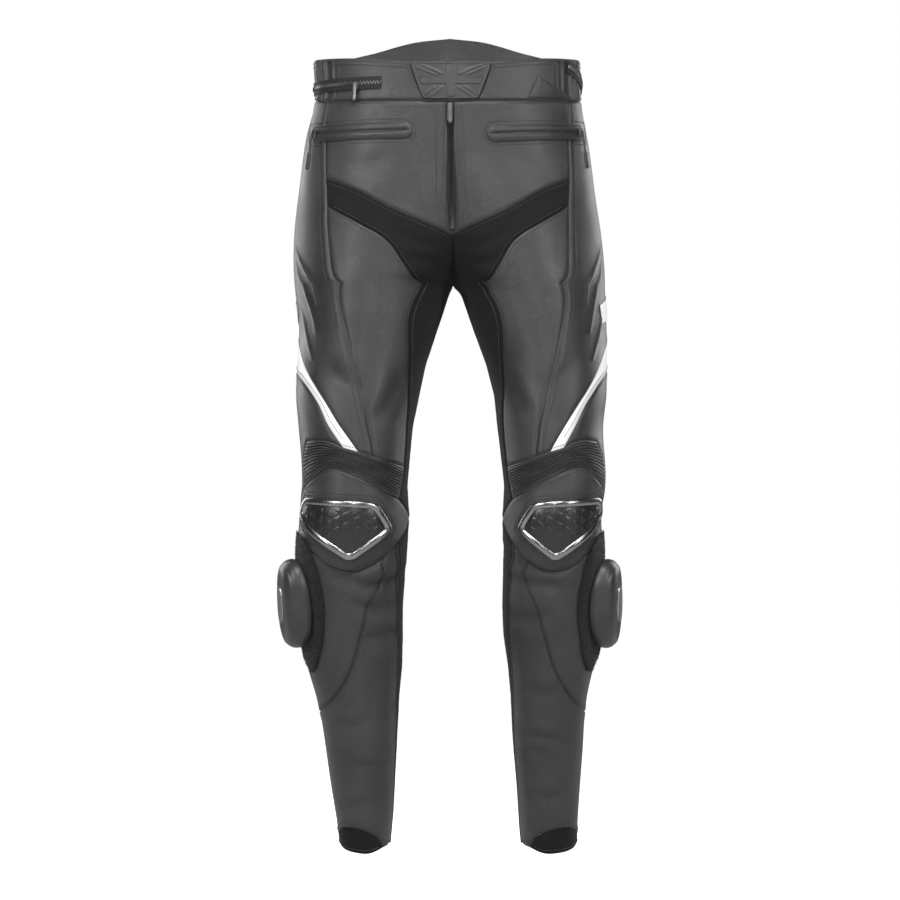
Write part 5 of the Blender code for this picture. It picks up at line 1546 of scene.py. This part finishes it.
def flag_relief(a, b):
    """The raised flag on the tab, a and b from -1 to 1 across and up.

    An upright cross 0.9 mm high and diagonal double rays 0.6 mm high, inside a rim 0.5 mm high.
    """
    x = a * FLAG_HALF_WIDTH
    y = b * FLAG_HALF_HEIGHT
    cross = np.maximum(np.clip((6.2 - np.abs(x)) / 0.8, 0, 1), np.clip((4.6 - np.abs(y)) / 0.8, 0, 1))
    slant = np.abs(np.abs(x) * FLAG_HALF_HEIGHT - np.abs(y) * FLAG_HALF_WIDTH)
    slant = slant / math.hypot(FLAG_HALF_HEIGHT, FLAG_HALF_WIDTH)
    rays = np.clip((4.4 - slant) / 0.8, 0, 1) * (1.0 - 0.8 * np.clip((1.1 - slant) / 0.7, 0, 1))
    clear = np.clip((np.abs(x) - 8.2) / 0.8, 0, 1) * np.clip((np.abs(y) - 6.4) / 0.8, 0, 1)
    field = (np.abs(a) < 0.86) & (np.abs(b) < 0.86)
    relief = np.maximum(cross * 0.9, rays * clear * 0.6) * field
    rim = np.exp(-((np.maximum(np.abs(a), np.abs(b)) - 0.93) / 0.035) ** 2)
    return relief + 0.5 * rim


def add_belt_tab():
    """The tab that closes the waistband: a rounded trapezoid with a raised flag and a sewn edge.

    A point at (a, b) lies at x = middle + a * half width(b), z = from top to low, and both are drawn in
    at the corners by (1 - 0.06 * (a * b)^6).
    """
    a, b = np.meshgrid(np.linspace(-1, 1, 97), np.linspace(1, -1, 49), indexing="ij")
    pull = 1.0 - 0.06 * (a * b) ** 6
    down = (1.0 - b * pull) / 2
    half = TAB_TOP_HALF + (TAB_LOW_HALF - TAB_TOP_HALF) * down
    x = TAB_MIDDLE + a * pull * half
    z = TAB_TOP_Z + (TAB_LOW_Z - TAB_TOP_Z) * down
    points, normals = front_face(x, z)
    rim = np.maximum(np.abs(a), np.abs(b))
    rounded = 1.0 - np.clip((rim - 0.93) / 0.07, 0, 1) ** 3
    height = LAY_GAP + 0.5 + (TAB_THICK - 0.5) * rounded + flag_relief(a, b)
    outer = points + normals * height[..., None]
    inner = points + normals * LAY_GAP
    # Painted light: the seam mark is painted shade at the rounded rim, the ridge mark painted highlight on
    # the raised flag and rim.
    marks = {"seam": np.tile((rim ** 12).ravel(), 2), "ridge": np.tile(flag_relief(a, b).ravel(), 2)}
    piece = add_piece("belt_tab_flag", grid_shell(outer, inner), FINISHES["smooth"], nodes=("belt_tab",),
                      marks=marks)
    area = skin_area(points.reshape(-1, 3), grid_faces(*a.shape)[0])
    declare_cloth((TAB_TOP_Z - TAB_LOW_Z, 2 * TAB_TOP_HALF), area)
    around = np.linspace(0, 1, 60, endpoint=False)
    corners = np.array(((-1, 1), (1, 1), (1, -1), (-1, -1), (-1, 1)), float) * np.array((0.955, 0.90))
    a = np.interp(around * 4, np.arange(5), corners[:, 0])
    b = np.interp(around * 4, np.arange(5), corners[:, 1])
    down = (1.0 - b) / 2
    half = TAB_TOP_HALF + (TAB_LOW_HALF - TAB_TOP_HALF) * down
    points, normals = front_face(TAB_MIDDLE + a * half, TAB_TOP_Z + (TAB_LOW_Z - TAB_TOP_Z) * down)
    points = points + normals * (LAY_GAP + TAB_THICK + 0.15)
    along = unit(np.roll(points, -1, axis=0) - np.roll(points, 1, axis=0))
    add_piece("belt_tab_stitches", stitches(points, along, normals), FINISHES["thread"])


def add_fly():
    """The fly zip: a strip of tape behind the slit with two rows of metal teeth."""
    z = np.linspace(FLY_TOP_Z, FLY_LOW_Z, 60)[:, None]
    shift = centre_shift(z)
    x = shift + np.linspace(-FLY_HALF, FLY_HALF, 13)[None]
    z = np.broadcast_to(z, x.shape)
    points, normals = front_face(x, z)
    ridge = 0.35 * np.exp(-((x - shift) / 3.0) ** 2)
    outer = points - normals * (FLY_DEPTH - ridge)[..., None]
    inner = points - normals * (FLY_DEPTH + FLY_TAPE)
    piece = add_piece("fly_tape", grid_shell(outer, inner), FINISHES["tape"], nodes=("fly_zip",))
    area = skin_area(points.reshape(-1, 3), grid_faces(*x.shape)[0])
    declare_cloth((2 * FLY_HALF, FLY_TOP_Z - FLY_LOW_Z), area)
    parts = []
    for half in (-1, 1):
        z = np.arange(FLY_TOP_Z - 4.0 + 0.6 * half, FLY_LOW_Z + 2.0, -FLY_TOOTH_PITCH)
        shift = centre_shift(z)
        points, normals = front_face(shift + half * 1.1, z)
        across = np.tile((1.0, 0.0, 0.0), (len(z), 1))
        parts.append(beads(points - normals * (FLY_DEPTH - 0.7), across, normals, *FLY_TOOTH))
    add_piece("fly_teeth", joined(parts), FINISHES["metal"])


def pocket_frame(side, inner_x, inner_z, outer_x, outer_z):
    """The start, the way along and the way across a pocket seen from the front, and its length."""
    run = np.array((outer_x - inner_x, outer_z - inner_z), float)
    length = float(np.linalg.norm(run))
    run = run / length
    return np.array((inner_x, inner_z), float), run, np.array((-run[1], run[0])), length


def pocket_outline(start, run, across, length, grow):
    """A strip with a round inner end, grown by an amount, as points seen from the front."""
    half = POCKET_HALF + grow
    angles = np.linspace(0, math.pi, POCKET_END_POINTS)
    end = (start + run * POCKET_HALF)[None] - run * (np.sin(angles) * half)[:, None]
    end = end + across * (np.cos(angles) * half)[:, None]
    s = np.linspace(POCKET_HALF, length + grow, int(length / 4.0))[1:, None]
    low = start + run * s - across * half
    high = (start + run * s + across * half)[::-1]
    return np.concatenate((end, low, high))


def front_to_places(side, rows):
    """Places (v, z) of one side under points seen from the front."""
    x, z = rows[:, 0], rows[:, 1]
    shift = centre_shift(z)
    outer = section(side, z)[0]
    t = (outer - side * (x - shift)) / outer
    return np.stack((angle_share(side, t, z), z), axis=1)


def add_pocket(side, inner_x, inner_z, outer_x, outer_z):
    """A zipped front pocket: two rolled lips round a slit, with sewing round it.

    Across the strip, b from -1 to 1, the face rises 0.8 * exp(-((|b| - 0.42) / 0.28)^2) on each lip and
    drops 1.7 * exp(-(b / 0.10)^2) in the slit.
    """
    start, run, across, length = pocket_frame(side, inner_x, inner_z, outer_x, outer_z)
    outline = front_to_places(side, pocket_outline(start, run, across, length, 0.0))
    s, b = np.meshgrid(np.arange(2.0, length - 1.0, 3.2), POCKET_ROWS, indexing="ij")
    laid = start + run * s.ravel()[:, None] + across * (b.ravel() * POCKET_HALF)[:, None]
    extra = front_to_places(side, laid)
    keep = inside(outline, extra)
    keep &= edge_distance(flat(outline), flat(extra)) > 1.2
    extra = extra[keep]
    middle = front_to_places(side, start + run * np.linspace(POCKET_HALF * 0.7, length - 4.0, 60)[:, None])

    def relief(places, distance):
        to = flat(places)[:, None] - flat(middle)[None]
        b = np.linalg.norm(to, axis=-1).min(axis=1) / POCKET_HALF
        return (0.8 * np.exp(-((b - 0.42) / 0.28) ** 2) - 1.7 * np.exp(-(b / 0.10) ** 2)
                + 0.5 * (1.0 - np.exp(-(distance / 1.5) ** 2)))

    name = side_name(side, "pocket_welt")
    shape, marks, places, area = cloth_shell(side, outline, extra, 0.9, relief, LAY_GAP + 0.9, 0.0)
    # Only a low painted highlight on the fold crests is kept, with no painted shade in the troughs.
    marks["ridge"] = np.clip(marks["ridge"], 0, 0.2)
    piece = add_piece(name + "_lips", shape, FINISHES["smooth"], nodes=(name,), marks=marks, places=places)
    declare_cloth((2 * POCKET_HALF, length), area)
    line = front_to_places(side, pocket_outline(start, run, across, length, 4.5))
    line = np.roll(line, -POCKET_END_POINTS, axis=0)[::-1]
    rows = [stitches(*row_on_cloth(side, line, STITCH_PITCH, 0.15))]
    for share in (-0.86, 0.86):
        s = np.linspace(POCKET_HALF, length - 3.0, 40)[:, None]
        line = front_to_places(side, start + run * s + across * (share * POCKET_HALF))
        rows.append(stitches(*row_on_cloth(side, line, STITCH_PITCH, LAY_GAP + 1.45)))
    add_piece(side_name(side, "pocket_stitches"), joined(rows), FINISHES["thread"])


def zip_strip(name, node, points, normals, across, half, lift, thick, size, arch=0.5):
    """A zip along a path: tape raised at its middle, with two rows of metal teeth side by side."""
    b = np.linspace(-1, 1, 13)
    laid = points[:, None] + across[:, None] * (b * half)[None, :, None]
    rise = arch * np.exp(-(b / 0.3) ** 2) - 0.25 * np.exp(-((np.abs(b) - 1.0) / 0.1) ** 2)
    outer = laid + normals[:, None] * (lift + thick + rise)[None, :, None]
    inner = laid + normals[:, None] * lift
    piece = add_piece(name + "_tape", grid_shell(outer, inner), FINISHES["tape"], nodes=(node,))
    declare_cloth(size, size[0] * size[1] * 0.995)
    count = int(path_length(points) / TOOTH_PITCH)
    centres, outs, ways = (evenly(rows, points, count) for rows in (points, normals, across))
    parts = []
    for half_row in (-1, 1):
        pick = slice(0 if half_row < 0 else 1, None, 2)
        middle = centres[pick] + ways[pick] * (half_row * 0.9) + outs[pick] * (lift + thick + arch)
        parts.append(beads(middle, ways[pick], outs[pick], *TOOTH))
    add_piece(name + "_teeth", joined(parts), FINISHES["metal"])


def add_connection_zip():
    """The half zip round the back of the waistband and the flap at its left end."""
    first_v = float(angle_share(-1, CONNECTION_START_T, -35.0))
    left_end = CONNECTION_END_V + 0.05
    turn = np.concatenate((np.linspace(first_v, -1.0, 200), np.linspace(-1.0, left_end, 180)[1:]))
    sides = np.concatenate((np.full(200, -1), np.full(179, 1)))
    back_rise = np.maximum(0.0, -turn - 0.15) * CONNECTION_BACK_RISE
    end_rise = np.where(sides > 0, np.maximum(0.0, turn + 0.1), 0.0) * CONNECTION_END_RISE
    points, normals = band_face(sides, turn, CONNECTION_Z + back_rise + end_rise)
    along = unit(np.gradient(points, axis=0))
    across = np.cross(normals, along)
    length = path_length(points)
    zip_strip("connection", "connection_zip", points, normals, across, CONNECTION_HALF, LAY_GAP,
              CONNECTION_THICK, (2 * CONNECTION_HALF, length))
    rows = np.array(CONNECTION_FLAP, float)
    outline = []
    for a, b in zip(rows, np.roll(rows, -1, axis=0)):
        outline.append(a + (b - a) * np.linspace(0, 1, 12, endpoint=False)[:, None])
    outline = front_to_places(1, np.concatenate(outline))
    extra = grid_places(1, outline, 4.0, 2.0)

    def relief(places, distance):
        dip = 0.7 * np.exp(-(distance / 1.5) ** 2)
        return LEATHER * 0.2 - dip + 0.35 * np.exp(-((distance - 4.5) / 2) ** 2)

    shape, marks, places, area = cloth_shell(1, outline, extra, LEATHER, relief, LAY_GAP + LEATHER, 0.0)
    piece = add_piece("left_connection_flap_cloth", shape, FINISHES["smooth"],
                      nodes=("left_connection_flap",), marks=marks, places=places)
    declare_cloth(cut_size(1, outline), area)


def add_calf_zip(side):
    """The zip on the back of the lower leg."""
    rows = np.array(CALF_ZIP, float)
    v = angle_share(side, rows[:, 0], rows[:, 1])
    z = np.linspace(rows[0, 1], rows[-1, 1], 120)
    v = np.interp(-z, -rows[:, 1], v)
    points = tube_point(side, v, z)
    normals = tube_normal(side, v, z)
    along = unit(np.gradient(points, axis=0))
    across = np.cross(normals, along)
    zip_strip(side_name(side, "calf"), side_name(side, "calf_zip"), points, normals, across, CALF_ZIP_HALF,
              LAY_GAP, CALF_ZIP_THICK, (2 * CALF_ZIP_HALF, rows[0, 1] - rows[-1, 1]))


def knee_outline(side, amount):
    """The rounded outline of the knee plate moved in by an amount, always of as many points."""
    corners = np.array(KNEE_PLATE, float)
    places = np.stack((angle_share(side, corners[:, 0], corners[:, 1]), corners[:, 1]), axis=1)
    places = inset(places, amount)
    radius = max(KNEE_CORNER - 0.45 * amount, 3.0)
    rounded = []
    for before, at, after in zip(np.roll(places, 1, axis=0), places, np.roll(places, -1, axis=0)):
        first = min(radius / np.linalg.norm(flat(before) - flat(at)), 0.4)
        last = min(radius / np.linalg.norm(flat(after) - flat(at)), 0.4)
        start = at + (before - at) * first
        end = at + (after - at) * last
        s = np.linspace(0, 1, 9)[:, None]
        rounded.append(start * (1 - s) ** 2 + at * 2 * s * (1 - s) + end * s ** 2)
    line = np.concatenate(rounded)
    closed = np.concatenate((line, line[:1]))
    return evenly(closed, flat(closed), KNEE_POINTS)[:-1]


def add_knee_plate(side):
    """The metal frame over the knee, rolled round its edges, and the plate with raised triangles.

    The plate's face rises in the middle, and a lattice of lines in three directions, 60 degrees apart,
    parts triangles that stand 0.6 mm (every second one 0.1 mm) above it.
    """
    rings = np.stack([lifted(side, knee_outline(side, amount), LAY_GAP + height)
                      for amount, height in KNEE_FRAME_PROFILE])
    rings = np.concatenate((rings, rings[:1]))
    count = rings.shape[1]
    points = rings[:-1].reshape(-1, 3)
    faces = ring_triangles(len(rings), count) % len(points)
    name = side_name(side, "knee_frame")
    add_piece(name + "_ring", (points, faces), FINISHES["chrome"], nodes=(name,), sharp=60.0)
    plate = knee_outline(side, KNEE_FRAME_WIDTH - 0.4)
    extra = grid_places(side, plate, 1.15, 0.7)
    plate = turned_for(side, plate)
    places = np.concatenate((plate, extra))
    distance = edge_distance(flat(plate), flat(places))
    at = flat(places) - flat(places).mean(axis=0)
    lines = []
    cells = []
    for angle in (0.0, math.pi / 3, 2 * math.pi / 3):
        across = (at[:, 0] * math.cos(angle) + at[:, 1] * math.sin(angle)) / (TRIANGLE_PITCH * 0.866)
        lines.append(np.abs(across - np.round(across)) * TRIANGLE_PITCH * 0.866)
        cells.append(np.floor(across))
    to_line = np.min(lines, axis=0)
    second = (cells[0] + cells[1] + cells[2]) % 2
    raised = np.clip((to_line - 0.5) / 1.5, 0, 1) * np.where(second > 0, TRIANGLE_HIGH, TRIANGLE_LOW)
    raised = raised * np.clip((distance - 3.0) / 1.5, 0, 1)
    crown = 1.4 * (1.0 - np.exp(-distance / 14.0))
    height = LAY_GAP + KNEE_INSERT_HEIGHT - 0.4 + crown + raised
    surface = tube_point(side, places[:, 0], places[:, 1])
    normals = tube_normal(side, places[:, 0], places[:, 1])
    faces = triangles_in(flat(plate), flat(extra))
    outer = surface + normals * height[:, None]
    inner = surface + normals * (LAY_GAP + 0.2)
    shape = closed_wall(outer, inner, faces, np.arange(len(plate)))
    # Painted light: the ridge mark is painted highlight on the raised triangles, the seam mark painted
    # shade beside the frame.
    marks = {"ridge": np.tile(raised, 2), "seam": np.tile(np.exp(-distance / 3.0), 2)}
    name = side_name(side, "knee_insert")
    add_piece(name + "_plate", shape, FINISHES["gloss"], nodes=(name,), marks=marks,
              places=np.tile(places, (2, 1)))
    rows = []
    for amount in (-3.6, -7.8):
        line = knee_outline(side, amount)
        rows.append(stitches(*row_on_cloth(side, np.concatenate((line, line[:1])), STITCH_PITCH, 0.2)))
    add_piece(side_name(side, "knee_stitches"), joined(rows), FINISHES["thread"])


def add_loop_patch(side):
    """The fuzzy patch below the knee, with short loops of yarn all over it and round its edge."""
    rows = np.array(LOOP_PATCH, float)
    places = np.stack((angle_share(side, rows[:, 0], rows[:, 1]), rows[:, 1]), axis=1)
    outline = smooth_loop(places, 3.0)
    wobble = np.random.default_rng(11 + side).normal(0.0, 0.55, len(outline))
    wobble = (wobble + np.roll(wobble, 1) + np.roll(wobble, -1)) / 1.8
    middle = outline.mean(axis=0)
    outline = middle + (outline - middle) * (1.0 + wobble / 90.0)[:, None]
    extra = grid_places(side, outline, 3.4, 1.4)
    noise = np.random.default_rng(5 + side)

    def relief(places, distance):
        return noise.normal(0.0, 0.22, len(places)) - 0.5 * np.exp(-(distance / 1.6) ** 2)

    name = side_name(side, "loop_patch")
    base = LOOP_GAP + LOOP_THICK
    shape, marks, laid, area = cloth_shell(side, outline, extra, LOOP_THICK, relief, base, 0.0)
    marks["ridge"] = np.zeros(len(laid))
    piece = add_piece(name + "_pile", shape, FINISHES["loop"], nodes=(name,), marks=marks, places=laid)
    declare_cloth(cut_size(side, outline), area)
    spots = noise.uniform(outline.min(axis=0), outline.max(axis=0), (YARN_COUNT * 2, 2))
    spots = spots[inside(outline, spots)][:YARN_COUNT]
    edge = np.repeat(outline, 4, axis=0) + noise.normal(0, 1.2, (len(outline) * 4, 2)) / (FLAT_WIDTH, 1.0)
    spots = np.concatenate((spots, edge))
    points = tube_point(side, spots[:, 0], spots[:, 1])
    normals = tube_normal(side, spots[:, 0], spots[:, 1])
    lift = crease_height(side, spots) + LOOP_GAP + LOOP_THICK + noise.uniform(-0.1, 0.5, len(spots))
    points = points + normals * lift[:, None]
    ways = unit(normals * 0.7 + noise.normal(0, 0.75, points.shape))
    ups = unit(np.cross(ways, noise.normal(0, 1, points.shape)))
    add_piece(name + "_yarn", beads(points, ways, ups, YARN_LENGTH, YARN_HALF, YARN_HALF), FINISHES["loop"])


def add_puck(side):
    """The moulded slider block: superellipses of power 2.5 carried up a rounded profile."""
    middle_v = float(angle_share(side, PUCK_T, PUCK_Z))
    c, s = round_shape(PUCK_STATIONS, PUCK_POWER)
    wide = c * PUCK_HALF_WIDTH
    tall = s * PUCK_HALF_HEIGHT
    wide = wide * (1.0 - 0.12 * tall / PUCK_HALF_HEIGHT)
    centre = tube_point(side, middle_v, PUCK_Z)
    normal = tube_normal(side, middle_v, PUCK_Z)
    top = centre + normal * (PUCK_LIFT + PUCK_RINGS[-1][1])
    table = np.array(PUCK_RINGS)
    rings = []
    rows = [(0.5, 0.0, 0.0), (0.96, 0.0, 0.0), (0.99, 0.8, 0.0)]
    for key in np.linspace(0, 4, 29):
        share, height, flatness = (float(smooth_curve(key, np.arange(5), table[:, k])) for k in range(3))
        rim = 0.7 * math.exp(-((share - 0.90) / 0.02) ** 2)
        rows.append((share - rim / 60.0, height - rim * 0.4, min(max(flatness, 0.0), 1.0)))
    rows.append((0.25, PUCK_RINGS[-1][1], 1.0))
    for share, height, flatness in rows:
        ring = np.stack((middle_v + wide * share / FLAT_WIDTH, PUCK_Z + tall * share), axis=1)
        points = lifted(side, ring, PUCK_LIFT + height)
        off = (points - top) @ normal
        rings.append(points - flatness * off[:, None] * normal)
    name = side_name(side, "knee_slider")
    add_piece(name + "_block", capped(np.stack(rings)), FINISHES["slider"], nodes=(name,), sharp=50.0)


def add_pull(name, finish, pivot, across, along, out, rows, scale):
    """A pull hanging from its slider: rounded sections of power 3 along a smooth profile."""
    across, along, out = (np.asarray(d, float) for d in (across, along, out))
    table = np.array(rows)
    runs = np.unique(np.concatenate((np.linspace(table[0, 0], table[-1, 0], 60), table[:, 0])))
    half = np.interp(runs, table[:, 0], table[:, 1])
    thick = np.interp(runs, table[:, 0], table[:, 2])
    end = np.clip((table[-1, 0] - runs) / 1.2, 0.0, 1.0)
    half = half * np.sqrt(0.25 + 0.75 * end)
    thick = thick * np.sqrt(0.25 + 0.75 * end)
    c, s = round_shape(20, 3.0)
    rings = (pivot + along * (runs * scale)[:, None, None] + across * (half[:, None] * c[None])[..., None]
             + out * (thick[:, None] * s[None])[..., None])
    add_piece(name + "_fine", capped(rings), FINISHES[finish], body=name, nodes=(name,), sharp=45.0)


def hanging(normal, up, lean):
    """The way down along the cloth, leaning out by a share."""
    return unit(-up + normal * lean)


def add_pulls():
    """The pulls, each on its own hinge."""
    for side, inner_x, inner_z, outer_x, outer_z in POCKETS:
        start, run, _, length = pocket_frame(side, inner_x, inner_z, outer_x, outer_z)
        x, z = start + run * (length - 5.0)
        _, t = side_share(x, z)
        point, normal, up, across = surface_frame(side, angle_share(side, t, z), z)
        pivot = point + normal * (LAY_GAP + POCKET_THICK + POCKET_SLIDER_LIFT + SLIDER_HEIGHT + CORD_OUT)
        down = hanging(normal, up, PULL_LEAN)
        add_pull(side_name(side, "pocket_pull"), "grip", pivot, across, down, np.cross(across, down),
                 CORD_PULL, 1.0)
    for side in (-1, 1):
        rows = np.array(CALF_ZIP, float)
        v = angle_share(side, rows[:, 0], rows[:, 1])
        height = rows[-1, 1] + 14.0
        turn = float(np.interp(-height, -rows[:, 1], v))
        point, normal, up, across = surface_frame(side, turn, height)
        pivot = point + normal * (LAY_GAP + CALF_ZIP_THICK + SLIDER_LIFT + SLIDER_HEIGHT + TAB_OUT)
        down = hanging(normal, up, CALF_LEAN)
        add_pull(side_name(side, "calf_pull"), "metal", pivot, across, down, np.cross(across, down),
                 TAB_PULL, CALF_PULL_SCALE)
    x, z = CONNECTION_SLIDER
    side, t = side_share(x, z)
    point, normal, up, across = surface_frame(side, angle_share(side, t, z), z)
    pivot = point + normal * (LAY_GAP + CONNECTION_THICK + SLIDER_LIFT + SLIDER_HEIGHT + TAB_OUT)
    down = hanging(normal, up, CONNECTION_LEAN)
    add_pull("connection_pull", "metal", pivot, across, down, np.cross(across, down), TAB_PULL, 1.0)
    _, _, centre, half, depth, half_depth = section(-1, FLY_SLIDER_Z)
    front = float(depth - half_depth * np.sin(last_angle(centre, half)))
    pivot = np.array((0.0, front - FLY_PULL_OUT, FLY_SLIDER_Z + 1.0))
    add_pull("fly_pull", "metal", pivot, (1, 0, 0), (0, 0, -1), (0, -1, 0), TAB_PULL, FLY_PULL_SCALE)


def add_white_wedge(side):
    """The upper white wedge, a thin patch laid on the side panel."""
    rows = np.array(WHITE_WEDGE)
    t = rows[:, 0] + (WEDGE_SHIFT if side < 0 else 0.0)
    t = np.maximum(t, -0.165)
    corners = np.stack((angle_share(side, t, rows[:, 1]), rows[:, 1]), axis=1)
    outline = np.concatenate([a + (b - a) * np.linspace(0, 1, 10, endpoint=False)[:, None]
                              for a, b in zip(corners, np.roll(corners, -1, axis=0))])
    extra = grid_places(side, outline, 4.0, 1.6)

    def relief(places, distance):
        return -0.35 * np.exp(-(distance / 1.2) ** 2)

    shape, marks, places, area = cloth_shell(side, outline, extra, 0.7, relief, 1.5, 0.0)
    marks["ridge"] = np.zeros(len(places))
    piece = add_piece(side_name(side, "white_wedge"), shape, FINISHES["white"], marks=marks, places=places)
    declare_cloth(cut_size(side, outline), area)


def soft_light(name, place, target, size, power):
    """A square soft light that faces a target."""
    data = bpy.data.lights.new(name, "AREA")
    data.shape = "RECTANGLE"
    data.size = size[0]
    data.size_y = size[1]
    data.energy = power
    lamp = bpy.data.objects.new(name, data)
    lamp.location = place
    lamp.rotation_euler = (Vector(target) - Vector(place)).to_track_quat("-Z", "Y").to_euler()
    bpy.context.scene.collection.objects.link(lamp)


def add_studio():
    """Camera, floor, soft lights and a white surround."""
    camera = bpy.data.objects.new("camera", bpy.data.cameras.new("camera"))
    camera.data.sensor_width = CAMERA_SENSOR
    camera.data.lens = CAMERA_LENS
    camera.location = CAMERA_PLACE
    camera.rotation_euler = (math.pi / 2, 0.0, 0.0)
    bpy.context.scene.collection.objects.link(camera)
    bpy.context.scene.camera = camera
    mesh = bpy.data.meshes.new("floor")
    corners = [(x * FLOOR_REACH, y * FLOOR_REACH, FLOOR_Z) for x, y in ((-1, -1), (1, -1), (1, 1), (-1, 1))]
    mesh.from_pydata(corners, [], [(0, 1, 2, 3)])
    floor = bpy.data.objects.new("floor", mesh)
    bpy.context.scene.collection.objects.link(floor)
    pale = bpy.data.materials.new("pale_floor")
    pale.use_nodes = True
    shader = pale.node_tree.nodes["Principled BSDF"]
    shader.inputs["Base Color"].default_value = (FLOOR_TONE, FLOOR_TONE, FLOOR_TONE, 1.0)
    shader.inputs["Roughness"].default_value = 0.9
    shader.inputs["Emission Color"].default_value = (1.0, 1.0, 1.0, 1.0)
    glow = pale.node_tree.nodes.new("ShaderNodeLightPath").outputs["Is Camera Ray"]
    pale.node_tree.links.new(glow, shader.inputs["Emission Strength"])
    mesh.materials.append(pale)
    world = bpy.data.worlds.new("surround")
    world.use_nodes = True
    tree = world.node_tree
    ground = tree.nodes["Background"]
    ground.inputs["Color"].default_value = (1.0, 1.0, 1.0, 1.0)
    path = tree.nodes.new("ShaderNodeLightPath")
    seen = maths(tree, "MULTIPLY_ADD", path.outputs["Is Camera Ray"], 1.0 - WORLD_GLOW, WORLD_GLOW)
    tree.links.new(seen, ground.inputs["Strength"])
    bpy.context.scene.world = world
    bpy.context.scene.view_settings.view_transform = "Standard"
    for light in LIGHTS:
        soft_light(*light)


add_studio()
for side in (-1, 1):
    seams = seam_table(side)
    add_panels(side, seams)
    add_stitches(side, seams)
    add_piping(side, seams)
    add_white_wedge(side)
    add_knee_plate(side)
    add_loop_patch(side)
    add_puck(side)
    add_calf_zip(side)
for pocket in POCKETS:
    add_pocket(*pocket)
add_waistband()
add_belt_tab()
add_fly()
add_connection_zip()
add_pulls()

for finish, nodes in KEPT_HARD:
    for node in nodes:
        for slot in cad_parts[node].material_slots:
            slot.material = FINISHES[finish][0]
